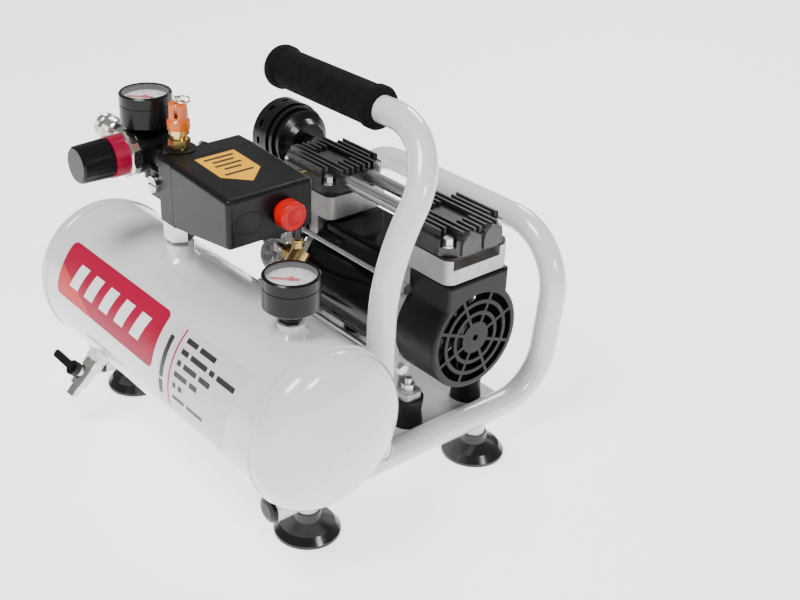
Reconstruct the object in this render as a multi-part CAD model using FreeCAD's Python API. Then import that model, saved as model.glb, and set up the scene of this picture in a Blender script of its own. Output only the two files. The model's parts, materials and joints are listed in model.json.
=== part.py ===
import FreeCAD, Part
import math
import os

# Twin-head oil-free airbrush compressor, millimetres, +Z up.
# +X runs along the tank to the motor's fan end, +Y to the pump side, z = 0 is the floor.
# The model is laid out with the tank's middle at x = 0 and then moved in Y so that
# the middle of its footprint is the origin.

V = FreeCAD.Vector
X_AXIS, Y_AXIS, Z_AXIS = V(1, 0, 0), V(0, 1, 0), V(0, 0, 1)

# ---- driving dimensions ------------------------------------------------------
FIT = 0.05                 # radial clearance of a shaft in its hole
GAP = 0.35                 # gap between pieces that move past each other

TUBE_D = 22.0              # frame and handle tube
TUBE_WALL = 1.5
RUNNER_X = 130.5           # runner centre lines at +-RUNNER_X
RUNNER_FRONT_Y = -109.0
RUNNER_BEND_Y = 129.7      # where the runners start to rise into the hoop
RUNNER_BEND_R = 45.0
HOOP_LEAN = math.radians(6)
HOOP_LEG = 98.0            # from the end of the low bend to the top bar
HOOP_CORNER_R = 55.0

TANK_D = 126.4
TANK_WALL = 2.0
TANK_LENGTH = 370.0
TANK_END_DEPTH = 26.0
TANK_KNUCKLE_R = 14.0
TANK_SKIRT = 7.0           # straight flange of each pressed end
TANK_Y = -80.0

FOOT_H = 20.0              # suction foot, floor to bush
FOOT_D = 52.0
FOOT_FRONT_Y = -74.6
FOOT_REAR_Y = 99.0
BUSH_D = 18.0

PLATE_FRONT_Y = -6.0
PLATE_REAR_Y = 138.0
PLATE_T = 2.0
PLATE_TOP_Z = 35.0
PLATE_FLANGE = 13.0

HANDLE_X = 129.4
HANDLE_KNEE_Z = 154.0      # where the upright starts to lean back
HANDLE_KNEE_R = 165.0
HANDLE_LEAN = math.radians(32)
HANDLE_CORNER_R = 58.0
HANDLE_END_X = -72.0
GRIP_D = 32.5
GRIP_FLARE = 1.9
GRIP_LENGTH = 132.0

PUMP_X = 31.0              # middle of the motor, along the tank
PUMP_Y = 80.6
LEG_H = 61.0                 # pump feet to shaft
HEAD_OFFSET = 72.5         # cylinder and mount offset from the middle
MOUNT_SPREAD_Y = 33.0
MOUNT_D = 26.0
MOUNT_H = 25.0
COVER_R = 44.3
COVER_IN = 67.0            # cover's inner face, from the middle
COVER_OUT = 111.0
COVER_WALL = 2.4
SHOULDER_HALF = 31.7
SHOULDER_H = 52.3            # shaft to the covers' flat top
BRACKET_IN = 54.0          # bearing bracket's inner face, from the middle
BRACKET_T = 12.0
DECK_T = 20.0
DECK_HALF_X = 37.0
STATOR_HALF = 34.0
STATOR_R = 43.0
SKIRT_R = 46.6
SKIRT_TOP = 51.0
SKIRT_RIDGE = 24.0
SKIRT_WALL = 1.6
ROTOR_R = 24.0
SHAFT_R = 5.0
BEARING_R = 13.0
BEARING_W = 8.0
CRANK_THROW = 5.0
CYLINDER_R = 24.0
CYLINDER_WALL = 2.5
HEAD_H = 13.0
FIN_H = 6.0
TIE_ROD_R = 2.0
TIE_ROD_PITCH = 37.0
TIE_TUBE_R = 5.5
TIE_TUBE_PITCH = 11.5

FILTER_Y = 97.0
FILTER_R = 31.0
FILTER_END_X = -144.6

SWITCH_X = -9.7            # parting face between switch base and cover
SWITCH_END_X = 66.5
SWITCH_BASE_T = 18.0
SWITCH_FRONT_Y = -97.0
SWITCH_REAR_Y = -21.5
SWITCH_LOW_Z = 207.0
SWITCH_TOP_Z = 261.0
BUTTON_Y = -49.5
BUTTON_Z = 237.7
BUTTON_R = 10.0
BUTTON_TRAVEL = 4.0

MANIFOLD_X = -30.2
MANIFOLD_Y = -76.0
PLUG_Z = 236.0
LINE_Z = 244.0             # air line through regulator and outlet coupler
REGULATOR_X = -80.0
REGULATOR_Y = -72.0
COUPLER_END_X = -149.1
KNOB_Z = 246.0
KNOB_FACE_Y = -139.5
KNOB_R = 15.8
FLUTES = 20
RING_T = 12.4
NUT_T = 7.0
REGULATOR_BODY_R = 18.5
REGULATOR_LENGTH = 37.0
SPINDLE_R = 7.5

GAUGE_R = 21.0
GAUGE_H = 26.0
TANK_GAUGE_X = 118.1
TANK_GAUGE_TOP = 217.8
LINE_GAUGE_TOP = 292.8

VALVE_TOP_Z = 301.0
CHECK_X = 47.0
CHECK_TILT = math.radians(38)
DRAIN_X = -98.0
DRAIN_TILT = math.radians(45)
BALL_R = 5.6
BOSS_H = {"gauge": 8.0, "switch": 12.0, "check": 8.0, "drain": 7.0}

CHECK_BODY = 24.0
CHECK_PORT = 15.0
NOZZLE_LENGTH = 16.0
GLAND_LENGTH = 9.0           # cable gland, from the switch base's back
CAPACITOR_R = 20.0
CAPACITOR_FRONT_Y = 46.0
CAPACITOR_REAR_Y = 116.0

HOSE_R = 4.5
AIR_TUBE_R = 2.5
CABLE_R = 3.5
PLUG_LENGTH = 46.0
PLUG_R = 17.5
PLUG_END = V(-206.0, 278.0, PLUG_R + 0.2)
COIL = V(-140.0, 236.0, 0)
COIL_R = 45.0
COIL_HOLE_R = 23.5
COIL_H = 4 * CABLE_R + 0.8
COIL_MID_R = COIL_R - CABLE_R - 0.6

# ---- places that follow from them --------------------------------------------
TUBE_R = TUBE_D / 2
TANK_R = TANK_D / 2
RUNNER_Z = FOOT_H + 3.6 + TUBE_R
CAPACITOR_X = TUBE_R + CAPACITOR_R - RUNNER_X - 4.5
TANK_Z = RUNNER_Z + TUBE_R + TANK_R
TANK_BODY_X = TANK_LENGTH / 2 - TANK_END_DEPTH
MOUNT_TOP = PLATE_TOP_Z + MOUNT_H
SHAFT_Z = MOUNT_TOP + LEG_H
COVER_TOP_Z = SHAFT_Z + SHOULDER_H
DECK_LOW_Z = COVER_TOP_Z + 1.2
DECK_TOP_Z = DECK_LOW_Z + DECK_T
GASKET_T = 2.4
HEAD_LOW_Z = DECK_TOP_Z + GASKET_T
HEAD_TOP_Z = HEAD_LOW_Z + HEAD_H
TIE_TUBE_Z = HEAD_LOW_Z + 8.0
FILTER_Z = HEAD_LOW_Z + 6.1
LOBE_REACH = 38.5            # port lobe's outer face, from the head's middle
HEAD_FACE_X = PUMP_X - HEAD_OFFSET - LOBE_REACH
OUTLET = V(PUMP_X - HEAD_OFFSET - 0.5, PUMP_Y - SHOULDER_HALF - 9.0, HEAD_LOW_Z + 3.0)
FILTER_SPLIT_X = FILTER_END_X + 19.0
FILTER_IN_X = FILTER_END_X + 53.0
REGULATOR_FRONT_Y = REGULATOR_Y - 20.5
LINE_NECK_Z = KNOB_Z + REGULATOR_BODY_R + 0.3
SWITCH_BACK_X = SWITCH_X - SWITCH_BASE_T
HANDLE_Y = TANK_Y + TANK_R + TUBE_R + 0.2
GRIP_Y = HANDLE_Y + HANDLE_KNEE_R * (1 - math.cos(HANDLE_LEAN)) + HANDLE_CORNER_R * math.sin(HANDLE_LEAN)
GRIP_Z = (HANDLE_KNEE_Z + HANDLE_KNEE_R * math.sin(HANDLE_LEAN)
          + HANDLE_CORNER_R * math.cos(HANDLE_LEAN))
HOOP_BEND = math.pi / 2 - HOOP_LEAN
HOOP_LOW_Y = RUNNER_BEND_Y + RUNNER_BEND_R * math.sin(HOOP_BEND)
HOOP_LOW_Z = RUNNER_Z + RUNNER_BEND_R * (1 - math.cos(HOOP_BEND))
HOOP_Y = HOOP_LOW_Y + HOOP_LEG * math.sin(HOOP_LEAN)
HOOP_Z = HOOP_LOW_Z + HOOP_LEG * math.cos(HOOP_LEAN)


# ---- helpers -------------------------------------------------------------------
def rod(start, axis, length, radius, bore=0.0):
    """A round bar from start along axis, hollow when bore is given."""
    shape = Part.makeCylinder(radius, length, start, axis)
    if bore:
        shape = shape.cut(Part.makeCylinder(bore, length + 2, start - axis * 1.0, axis))
    return shape


def block(low, high):
    """A box between two corners given as tuples."""
    return Part.makeBox(high[0] - low[0], high[1] - low[1], high[2] - low[2], V(*low))


def fuse(*shapes):
    """One solid out of shapes that bite into each other."""
    result = shapes[0].fuse(list(shapes[1:])) if len(shapes) > 1 else shapes[0]
    return result.removeSplitter()


def cut(shape, *tools):
    """Shape with every tool taken away."""
    return shape.cut(list(tools))


def hexagon(centre, axis, across_flats, length, bore=0.0):
    """A hexagonal prism from centre along axis."""
    side = V(0, 0, 1) if abs(axis.z) < 0.9 else V(1, 0, 0)
    first = axis.cross(side).normalize()
    second = axis.cross(first)
    radius = across_flats / math.sqrt(3)
    corners = []
    for index in range(6):
        angle = math.radians(60 * index + 30)
        corners.append(centre + first * (radius * math.cos(angle)) + second * (radius * math.sin(angle)))
    shape = Part.Face(Part.makePolygon(corners + corners[:1])).extrude(axis * length)
    if bore:
        shape = shape.cut(Part.makeCylinder(bore, length + 2, centre - axis * 1.0, axis))
    return shape


def turned(profile, origin, axis, side):
    """A solid of revolution; profile holds (along axis, radius) pairs of its section."""
    points = [origin + axis * along + side * radius for along, radius in profile]
    return Part.Face(Part.makePolygon(points + points[:1])).revolve(origin, axis, 360)


def bent_path(points, radii):
    """A wire of straight runs joined by tangent arcs, one radius for each inner point."""
    edges = []
    start = points[0]
    for before, corner, after, radius in zip(points, points[1:], points[2:], radii):
        to_before = (before - corner).normalize()
        to_after = (after - corner).normalize()
        half = to_before.getAngle(to_after) / 2
        reach = radius / math.tan(half)
        first, last = corner + to_before * reach, corner + to_after * reach
        inward = (to_before + to_after).normalize()
        middle = corner + inward * (radius / math.sin(half) - radius)
        if (first - start).Length > 0.01:
            edges.append(Part.LineSegment(start, first).toShape())
        edges.append(Part.Arc(first, middle, last).toShape())
        start = last
    if (points[-1] - start).Length > 0.01:
        edges.append(Part.LineSegment(start, points[-1]).toShape())
    return Part.Wire(edges)


def swept(path, radius):
    """A round section carried along a wire."""
    start = path.Edges[0].valueAt(path.Edges[0].FirstParameter)
    direction = path.Edges[0].tangentAt(path.Edges[0].FirstParameter)
    ring = Part.Wire([Part.makeCircle(radius, start, direction)])
    return path.makePipeShell([ring], True, False)


def tube_along(path, radius, wall):
    """A hollow bent tube."""
    return swept(path, radius).cut(swept(path, radius - wall))


def softened(shape, radius, keep=lambda edge: True):
    """Shape with the chosen edges rounded."""
    edges = [edge for edge in shape.Edges if keep(edge)]
    return shape.makeFillet(radius, edges)


def along_z(edge):
    """True for a straight upright edge."""
    return edge.Curve.TypeId == "Part::GeomLine" and abs(edge.tangentAt(edge.FirstParameter).z) > 0.95


def cord_radii(points):
    """The widest arc that each pair of neighbouring runs allows."""
    radii = []
    for before, corner, after in zip(points, points[1:], points[2:]):
        turn = math.pi - (before - corner).getAngle(after - corner)
        shorter = min((before - corner).Length, (after - corner).Length)
        radii.append(0.45 * shorter / math.tan(turn / 2))
    return radii


# ---- frame ---------------------------------------------------------------------
def frame_tube():
    """Both runners and the rear hoop, one bent tube open at its two front ends."""
    corner_y = RUNNER_BEND_Y + RUNNER_BEND_R * math.tan(HOOP_BEND / 2)
    places = ((RUNNER_FRONT_Y, RUNNER_Z), (corner_y, RUNNER_Z), (HOOP_Y, HOOP_Z))
    top = [V(RUNNER_X, y, z) for y, z in places]
    other = [V(-point.x, point.y, point.z) for point in reversed(top)]
    radii = [RUNNER_BEND_R, HOOP_CORNER_R, HOOP_CORNER_R, RUNNER_BEND_R]
    return tube_along(bent_path(top + other, radii), TUBE_R, TUBE_WALL)


def runner_plugs():
    """Plastic plugs with rounded caps in the runners' open ends."""
    bore, lip = TUBE_R - TUBE_WALL, 4.0
    profile = [(0, 0), (0, TUBE_R - 5), (1.2, TUBE_R - 1.5), (3, TUBE_R), (lip, TUBE_R), (lip, bore),
               (18, bore), (18, 0)]
    ends = [V(side * RUNNER_X, RUNNER_FRONT_Y - lip, RUNNER_Z) for side in (1, -1)]
    return [turned(profile, end, Y_AXIS, X_AXIS) for end in ends]


def foot_places():
    """Centres of the four feet on the floor."""
    return [V(side * RUNNER_X, y, 0) for side in (1, -1) for y in (FOOT_FRONT_Y, FOOT_REAR_Y)]


def suction_feet():
    """Rubber suction feet: a hollow lip below a waisted neck with a screw hole."""
    lip, crown = FOOT_D / 2, BUSH_D / 2 + 1.5
    profile = [(0, lip - 1.5), (0, lip), (2.5, lip), (8, lip - 4.5), (12.5, crown + 1), (FOOT_H, crown),
               (FOOT_H, 3.0), (10, 3.0), (10, 7.0), (5.5, lip - 8)]
    return [turned(profile, place, Z_AXIS, X_AXIS) for place in foot_places()]


def foot_screws():
    """Pan-head screws that hold the feet, heads up inside the suction cups."""
    screws = []
    for place in foot_places():
        head = rod(place + V(0, 0, 6.5), Z_AXIS, 3.5, 5.5)
        screws.append(fuse(head, rod(place + V(0, 0, 9.8), Z_AXIS, RUNNER_Z - TUBE_R - 11.0, 3.0)))
    return screws


def foot_bushes():
    """White threaded bushes welded under the runners."""
    bushes = []
    for place in foot_places():
        body = rod(place + V(0, 0, FOOT_H), Z_AXIS, RUNNER_Z - FOOT_H - 4, BUSH_D / 2, 3.0)
        runner = rod(V(place.x, place.y - 20, RUNNER_Z), Y_AXIS, 40, TUBE_R)
        bushes.append(body.cut(runner))
    return bushes


def base_plate():
    """Steel plate between the runners with front and rear flanges turned down."""
    half = RUNNER_X - TUBE_R + 1.0
    deck = block((-half, PLATE_FRONT_Y, PLATE_TOP_Z - PLATE_T), (half, PLATE_REAR_Y, PLATE_TOP_Z))
    low = PLATE_TOP_Z - PLATE_FLANGE
    rear = block((-half, PLATE_REAR_Y - PLATE_T, low), (half, PLATE_REAR_Y, PLATE_TOP_Z))
    front = block((-half, PLATE_FRONT_Y, low), (half, PLATE_FRONT_Y + PLATE_T, PLATE_TOP_Z))
    plate = fuse(deck, rear, front)
    runners = [rod(V(side * RUNNER_X, PLATE_FRONT_Y - 40, RUNNER_Z), Y_AXIS, 240, TUBE_R)
               for side in (1, -1)]
    plate = cut(plate, *runners)
    holes = [rod(V(place.x, place.y, PLATE_TOP_Z - 5), Z_AXIS, 10, 3.2) for place in mount_places()]
    plate = cut(plate, *holes)
    return max(plate.Solids, key=lambda solid: solid.Volume)


# ---- tank ----------------------------------------------------------------------
def tank_surface(radius, half_length):
    """A plain bar on the tank's axis, used to fit pieces to the wall."""
    return rod(V(-half_length, TANK_Y, TANK_Z), X_AXIS, 2 * half_length, radius)


def tank_shell():
    """The rolled middle of the pressure tank with its four ports."""
    half = TANK_BODY_X - TANK_SKIRT
    shell = tank_surface(TANK_R, half).cut(tank_surface(TANK_R - TANK_WALL, half + 1))
    ports = [rod(place, axis, 30, 4.0) for place, axis in port_places()]
    return cut(shell, *ports)


def tank_end(side):
    """A pressed dished end, crown and knuckle, with a straight flange and its weld bead."""
    depth, skirt = TANK_END_DEPTH, TANK_SKIRT
    hub = TANK_R - TANK_KNUCKLE_R
    crown = (depth ** 2 + hub ** 2 - TANK_KNUCKLE_R ** 2) / (2 * (depth - TANK_KNUCKLE_R))
    crown_centre, knuckle_centre = V(depth - crown, 0, 0), V(0, hub, 0)
    to_joint = (knuckle_centre - crown_centre).normalize()

    def side_of(offset):
        """Crown and knuckle arcs of the wall's face that lies offset inside the outer one."""
        pole, joint = V(depth - offset, 0, 0), crown_centre + to_joint * (crown - offset)
        rim = V(0, TANK_R - offset, 0)
        half = to_joint.getAngle(X_AXIS) / 2
        crown_mid = crown_centre + V(math.cos(half), math.sin(half), 0) * (crown - offset)
        turn = (to_joint.getAngle(X_AXIS) + math.pi / 2) / 2
        knuckle_mid = knuckle_centre + V(math.cos(turn), math.sin(turn), 0) * (TANK_KNUCKLE_R - offset)
        arcs = [Part.Arc(pole, crown_mid, joint), Part.Arc(joint, knuckle_mid, rim)]
        return [arc.toShape() for arc in arcs], pole, rim

    outer, outer_pole, outer_rim = side_of(0.0)
    inner, inner_pole, inner_rim = side_of(TANK_WALL)
    corners = [inner_rim, V(-skirt, inner_rim.y, 0), V(-skirt, outer_rim.y, 0), outer_rim]
    straight = [Part.LineSegment(first, last).toShape() for first, last in zip(corners, corners[1:])]
    outline = outer + inner + straight + [Part.LineSegment(outer_pole, inner_pole).toShape()]
    end = Part.Face(Part.Wire(Part.sortEdges(outline)[0])).revolve(V(0, 0, 0), X_AXIS, 360)
    end = end.fuse(weld_bead(-skirt))
    if side < 0:
        end = end.mirror(V(0, 0, 0), X_AXIS)
    end.translate(V(side * TANK_BODY_X, TANK_Y, TANK_Z))
    return end


def weld_bead(start):
    """Low round bead on the tank's outside, on the X axis."""
    profile = [(0, -0.8), (0, 0.5), (1, 1.2), (2.4, 1.2), (3.4, 0.5), (3.8, -0.8)]
    return turned([(start + along, TANK_R + rise) for along, rise in profile], V(0, 0, 0), X_AXIS, Y_AXIS)


def port_places():
    """Centre and outward direction of the four tank ports: gauge, switch, check valve, drain."""
    check = V(0, math.sin(CHECK_TILT), math.cos(CHECK_TILT))
    drain = V(0, -math.sin(DRAIN_TILT), -math.cos(DRAIN_TILT))
    axis_point = V(0, TANK_Y, TANK_Z)
    inside = TANK_R - 15
    return [(axis_point + V(TANK_GAUGE_X, 0, inside), Z_AXIS),
            (axis_point + V(MANIFOLD_X, 0, inside), Z_AXIS),
            (axis_point + V(CHECK_X, 0, 0) + check * inside, check),
            (axis_point + V(DRAIN_X, 0, 0) + drain * inside, drain)]


def tank_bosses():
    """White threaded bosses welded to the tank wall, one at each port."""
    bosses = []
    sizes = ((10.0, "gauge"), (11.5, "switch"), (10.5, "check"), (9.5, "drain"))
    for (place, axis), (radius, name) in zip(port_places(), sizes):
        face = place + axis * 15
        boss = rod(face - axis * 6, axis, 6 + BOSS_H[name], radius, 4.0)
        weld = Part.makeCone(radius + 4, radius, 4.0, face - axis * 1.5, axis)
        weld = weld.cut(rod(face - axis * 8, axis, 20, 4.0))
        bosses.append(boss.fuse(weld).cut(tank_surface(TANK_R, TANK_LENGTH / 2)).Solids[0])
    return bosses


def boss_face(index, name):
    """Middle of a boss's outer face and its direction."""
    place, axis = port_places()[index]
    return place + axis * (15 + BOSS_H[name]), axis


# ---- handle --------------------------------------------------------------------
def handle_tube():
    """The carrying handle: an upright that leans back, then turns over the tank to the grip."""
    runner_top = RUNNER_Z + TUBE_R * 0.55
    knee = V(HANDLE_X, HANDLE_Y, HANDLE_KNEE_Z + HANDLE_KNEE_R * math.tan(HANDLE_LEAN / 2))
    corner = V(HANDLE_X, GRIP_Y, GRIP_Z)
    points = [V(HANDLE_X, HANDLE_Y, runner_top), knee, corner, V(HANDLE_END_X, GRIP_Y, GRIP_Z)]
    tube = tube_along(bent_path(points, [HANDLE_KNEE_R, HANDLE_CORNER_R - 0.05]), TUBE_R, TUBE_WALL)
    runner = rod(V(RUNNER_X, HANDLE_Y - 40, RUNNER_Z), Y_AXIS, 80, TUBE_R)
    tube = tube.cut(runner)
    return max(tube.Solids, key=lambda solid: solid.Volume)


def handle_grip():
    """Foam sleeve on the handle's level end, flared and rounded at both ends, closed at its tip."""
    radius, flare = GRIP_D / 2, GRIP_D / 2 + GRIP_FLARE
    end = HANDLE_END_X - 2.5
    profile = [(0, 0), (0, radius - 3), (1.2, flare - 0.8), (3.5, flare), (9, flare), (14, radius),
               (GRIP_LENGTH - 14, radius), (GRIP_LENGTH - 9, flare - 0.6), (GRIP_LENGTH - 3.5, flare - 0.6),
               (GRIP_LENGTH - 1, radius), (GRIP_LENGTH, radius - 2.5), (GRIP_LENGTH, TUBE_R), (2.5, TUBE_R),
               (2.5, 0)]
    return turned(profile, V(end, GRIP_Y, GRIP_Z), X_AXIS, Z_AXIS)


# ---- motor and pump ------------------------------------------------------------
def mount_places():
    """Centres of the four rubber mounts."""
    return [V(PUMP_X + side * HEAD_OFFSET, PUMP_Y + back * MOUNT_SPREAD_Y, PLATE_TOP_Z)
            for side in (1, -1) for back in (1, -1)]


def rubber_mounts():
    """Waisted rubber buffers between plate and pump feet."""
    radius = MOUNT_D / 2
    profile = [(0, 0), (0, radius), (3, radius), (MOUNT_H / 2, radius - 1.2), (MOUNT_H - 3, radius),
               (MOUNT_H, radius), (MOUNT_H, 0)]
    return [turned(profile, place, Z_AXIS, X_AXIS) for place in mount_places()]


def mount_fasteners():
    """Studs with hex nuts above each pump foot and below the plate."""
    pieces = []
    for place in mount_places():
        top = V(place.x, place.y, MOUNT_TOP + 6.0)
        stud = rod(V(place.x, place.y, MOUNT_TOP), Z_AXIS, 17.0, 3.0)
        pieces.append(fuse(stud, rod(top, Z_AXIS, 1.2, 6.5), hexagon(top + V(0, 0, 1.1), Z_AXIS, 10, 5)))
        low = V(place.x, place.y, PLATE_TOP_Z - PLATE_T)
        below = rod(low + V(0, 0, -8), Z_AXIS, 8 + PLATE_T, 3.0)
        pieces.append(fuse(below, hexagon(low, Z_AXIS * -1, 10, 5)))
    return pieces


def bearing_bracket(side):
    """Cast bracket: bearing hub, cylinder deck above, two legs with feet below."""
    inner = PUMP_X + side * BRACKET_IN
    outer = PUMP_X + side * (BRACKET_IN + BRACKET_T)
    low_x, high_x = min(inner, outer), max(inner, outer)
    shaft = V(low_x, PUMP_Y, SHAFT_Z)
    hub = rod(shaft, X_AXIS, BRACKET_T, COVER_R - COVER_WALL - 0.3)
    neck = block((low_x, PUMP_Y - SHOULDER_HALF + COVER_WALL, SHAFT_Z),
                 (high_x, PUMP_Y + SHOULDER_HALF - COVER_WALL, DECK_LOW_Z + 1))
    head_x = PUMP_X + side * HEAD_OFFSET
    deck = block((head_x - DECK_HALF_X, PUMP_Y - SHOULDER_HALF, DECK_LOW_Z),
                 (head_x + DECK_HALF_X, PUMP_Y + SHOULDER_HALF, DECK_TOP_Z))
    deck = softened(deck, 8.0, along_z)
    slot_face = head_x + side * DECK_HALF_X
    slot_xs = sorted((slot_face - side * 14, slot_face + side * 2))
    slot = block((slot_xs[0], PUMP_Y - SHOULDER_HALF + 5, DECK_TOP_Z - 8),
                 (slot_xs[1], PUMP_Y + SHOULDER_HALF - 11, DECK_TOP_Z + 1))
    parts = [hub, neck, deck]
    for back in (1, -1):
        mount_y = PUMP_Y + back * MOUNT_SPREAD_Y
        leg = block((low_x, mount_y - 6, MOUNT_TOP), (high_x, mount_y + 6, SHAFT_Z + 6))
        foot = block((min(inner, head_x + side * 9), mount_y - 9, MOUNT_TOP),
                     (max(inner, head_x + side * 9), mount_y + 9, MOUNT_TOP + 6))
        parts += [leg, softened(foot, 5.0, along_z)]
    body = fuse(*parts)
    bore = rod(V(head_x, PUMP_Y, SHAFT_Z), Z_AXIS, DECK_TOP_Z - SHAFT_Z + 1, CYLINDER_R + 0.02)
    seat = rod(shaft - X_AXIS, X_AXIS, BRACKET_T + 2, BEARING_R)
    studs = [rod(V(place.x, place.y, MOUNT_TOP - 1), Z_AXIS, 9, 3.2) for place in mount_places()]
    rods = [rod(V(low_x - 1, y, z), X_AXIS, BRACKET_T + 2, TIE_ROD_R + 0.1) for y, z in tie_rod_places()]
    return cut(body, bore, seat, slot, *studs, *rods)


def tie_rod_places():
    """Y and Z of the rods that clamp the stator between the brackets."""
    return [(PUMP_Y + a * TIE_ROD_PITCH, SHAFT_Z + b * TIE_ROD_PITCH) for a in (1, -1) for b in (1, -1)]


def tie_rods():
    """Four long screws with hex heads outside the brackets."""
    half = BRACKET_IN + BRACKET_T
    rods = []
    for y, z in tie_rod_places():
        bar = rod(V(PUMP_X - half - 2, y, z), X_AXIS, 2 * half + 4, TIE_ROD_R)
        head = hexagon(V(PUMP_X + half, y, z), X_AXIS, 8, 4.5)
        nut = hexagon(V(PUMP_X - half, y, z), X_AXIS * -1, 8, 4.5)
        rods.append(fuse(bar, head, nut))
    return rods


def motor_stator():
    """Laminated stator core inside its black skirt, and the two coil ends."""
    start = V(PUMP_X - STATOR_HALF, PUMP_Y, SHAFT_Z)
    square = block((start.x, PUMP_Y - STATOR_R, SHAFT_Z - STATOR_R),
                   (start.x + 2 * STATOR_HALF, PUMP_Y + STATOR_R, SHAFT_Z + STATOR_R))
    core = square.common(rod(start, X_AXIS, 2 * STATOR_HALF, STATOR_R + 1.0))
    core = cut(core, rod(start - X_AXIS, X_AXIS, 2 * STATOR_HALF + 2, ROTOR_R + 0.4))
    coils = []
    for side in (1, -1):
        face = V(PUMP_X + side * STATOR_HALF, PUMP_Y, SHAFT_Z)
        coils.append(rod(face, X_AXIS * side, 14, STATOR_R - 7, ROTOR_R + 4))
    return [core] + coils


def skirt_form(half, grow):
    """Motor skirt's outline along the shaft: a drum with a flat-topped ridge that slopes at both ends."""
    drum = rod(V(PUMP_X - half, PUMP_Y, SHAFT_Z), X_AXIS, 2 * half, SKIRT_R - grow)
    top, shoulder, reach = SHAFT_Z + SKIRT_TOP - grow, SHAFT_Z + 30, SKIRT_RIDGE - grow
    outline = [V(PUMP_X - half, 0, shoulder), V(PUMP_X - half, 0, top - 12), V(PUMP_X - half + 14, 0, top),
               V(PUMP_X + half - 14, 0, top), V(PUMP_X + half, 0, top - 12), V(PUMP_X + half, 0, shoulder)]
    ridge = Part.Face(Part.makePolygon(outline + outline[:1])).extrude(Y_AXIS * (2 * reach))
    ridge.translate(V(0, PUMP_Y - reach, 0))
    return fuse(drum, ridge)


def motor_skirt():
    """Black sheet skirt round the stator between the two brackets, bored for the stator."""
    half = BRACKET_IN - GAP
    bore = STATOR_R + 1.3
    stator = rod(V(PUMP_X - STATOR_HALF - 14.5, PUMP_Y, SHAFT_Z), X_AXIS, 2 * STATOR_HALF + 29, bore)
    rods = [rod(V(PUMP_X - half - 1, y, z), X_AXIS, 2 * half + 2, TIE_ROD_R + GAP)
            for y, z in tie_rod_places()]
    return skirt_form(half, 0.0).cut(skirt_form(half + 1, SKIRT_WALL)).cut([stator] + rods)


def motor_shaft():
    """Steel shaft through both bearings to the fans."""
    half = COVER_OUT - 12
    return rod(V(PUMP_X - half, PUMP_Y, SHAFT_Z), X_AXIS, 2 * half, SHAFT_R)


def rotor_core():
    """Rotor pack pressed on the shaft."""
    half = STATOR_HALF - 1
    return rod(V(PUMP_X - half, PUMP_Y, SHAFT_Z), X_AXIS, 2 * half, ROTOR_R, SHAFT_R)


def ball_bearings():
    """Two bearings in the brackets' hubs."""
    rings = []
    for side in (1, -1):
        start = V(PUMP_X + side * (BRACKET_IN + 2), PUMP_Y, SHAFT_Z)
        rings.append(rod(start, X_AXIS * side, BEARING_W, BEARING_R - 0.01, SHAFT_R + FIT))
    return rings


def eccentrics():
    """Crank discs on the shaft, one for each cylinder, set opposite to each other."""
    discs = []
    for side in (1, -1):
        start = V(PUMP_X + side * (HEAD_OFFSET - 5), PUMP_Y, SHAFT_Z + side * CRANK_THROW)
        disc = rod(start, X_AXIS * side, 10, 12.0)
        discs.append(disc.cut(rod(V(start.x - 20, PUMP_Y, SHAFT_Z), X_AXIS, 40, SHAFT_R)))
    return discs


def pistons():
    """Wobble pistons: big end round the eccentric, rod, and cup in the cylinder."""
    big_end = 12.0 + CRANK_THROW + GAP
    pieces = []
    for side in (1, -1):
        x = PUMP_X + side * HEAD_OFFSET
        ring = rod(V(x - 4, PUMP_Y, SHAFT_Z), X_AXIS, 8, big_end + 4)
        stem = block((x - 4, PUMP_Y - 6, SHAFT_Z + big_end), (x + 4, PUMP_Y + 6, DECK_TOP_Z - 10))
        crown = rod(V(x, PUMP_Y, DECK_TOP_Z - 12), Z_AXIS, 7, CYLINDER_R - CYLINDER_WALL - 0.1)
        pieces.append(fuse(ring, stem, crown).cut(rod(V(x - 5, PUMP_Y, SHAFT_Z), X_AXIS, 10, big_end)))
    return pieces


def cooling_fans():
    """Eight-blade fans behind the end grilles."""
    fans = []
    for side in (1, -1):
        start = V(PUMP_X + side * (COVER_OUT - 22), PUMP_Y, SHAFT_Z)
        hub = rod(start, X_AXIS * side, 9, 9.0)
        blades = []
        for index in range(8):
            blade = block((0, 7, -0.8), (9, COVER_R - 9, 0.8))
            blade.rotate(V(0, 0, 0), Y_AXIS, 25)
            blade.rotate(V(0, 0, 0), X_AXIS, 45 * index)
            if side < 0:
                blade = blade.mirror(V(0, 0, 0), X_AXIS)
            blade.translate(start)
            blades.append(blade)
        fans.append(fuse(hub, *blades).cut(rod(start - X_AXIS * 20, X_AXIS, 40, SHAFT_R)))
    return fans


def cover_section(grow):
    """Outline solid of an end cover along +X from x = 0, grown inwards by grow."""
    length = COVER_OUT - COVER_IN
    drum = rod(V(0, 0, 0), X_AXIS, length, COVER_R - grow)
    top = COVER_TOP_Z - SHAFT_Z - grow
    shoulder = block((0, -SHOULDER_HALF + grow, 0), (length, SHOULDER_HALF - grow, top))
    return fuse(drum, shoulder)


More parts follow.
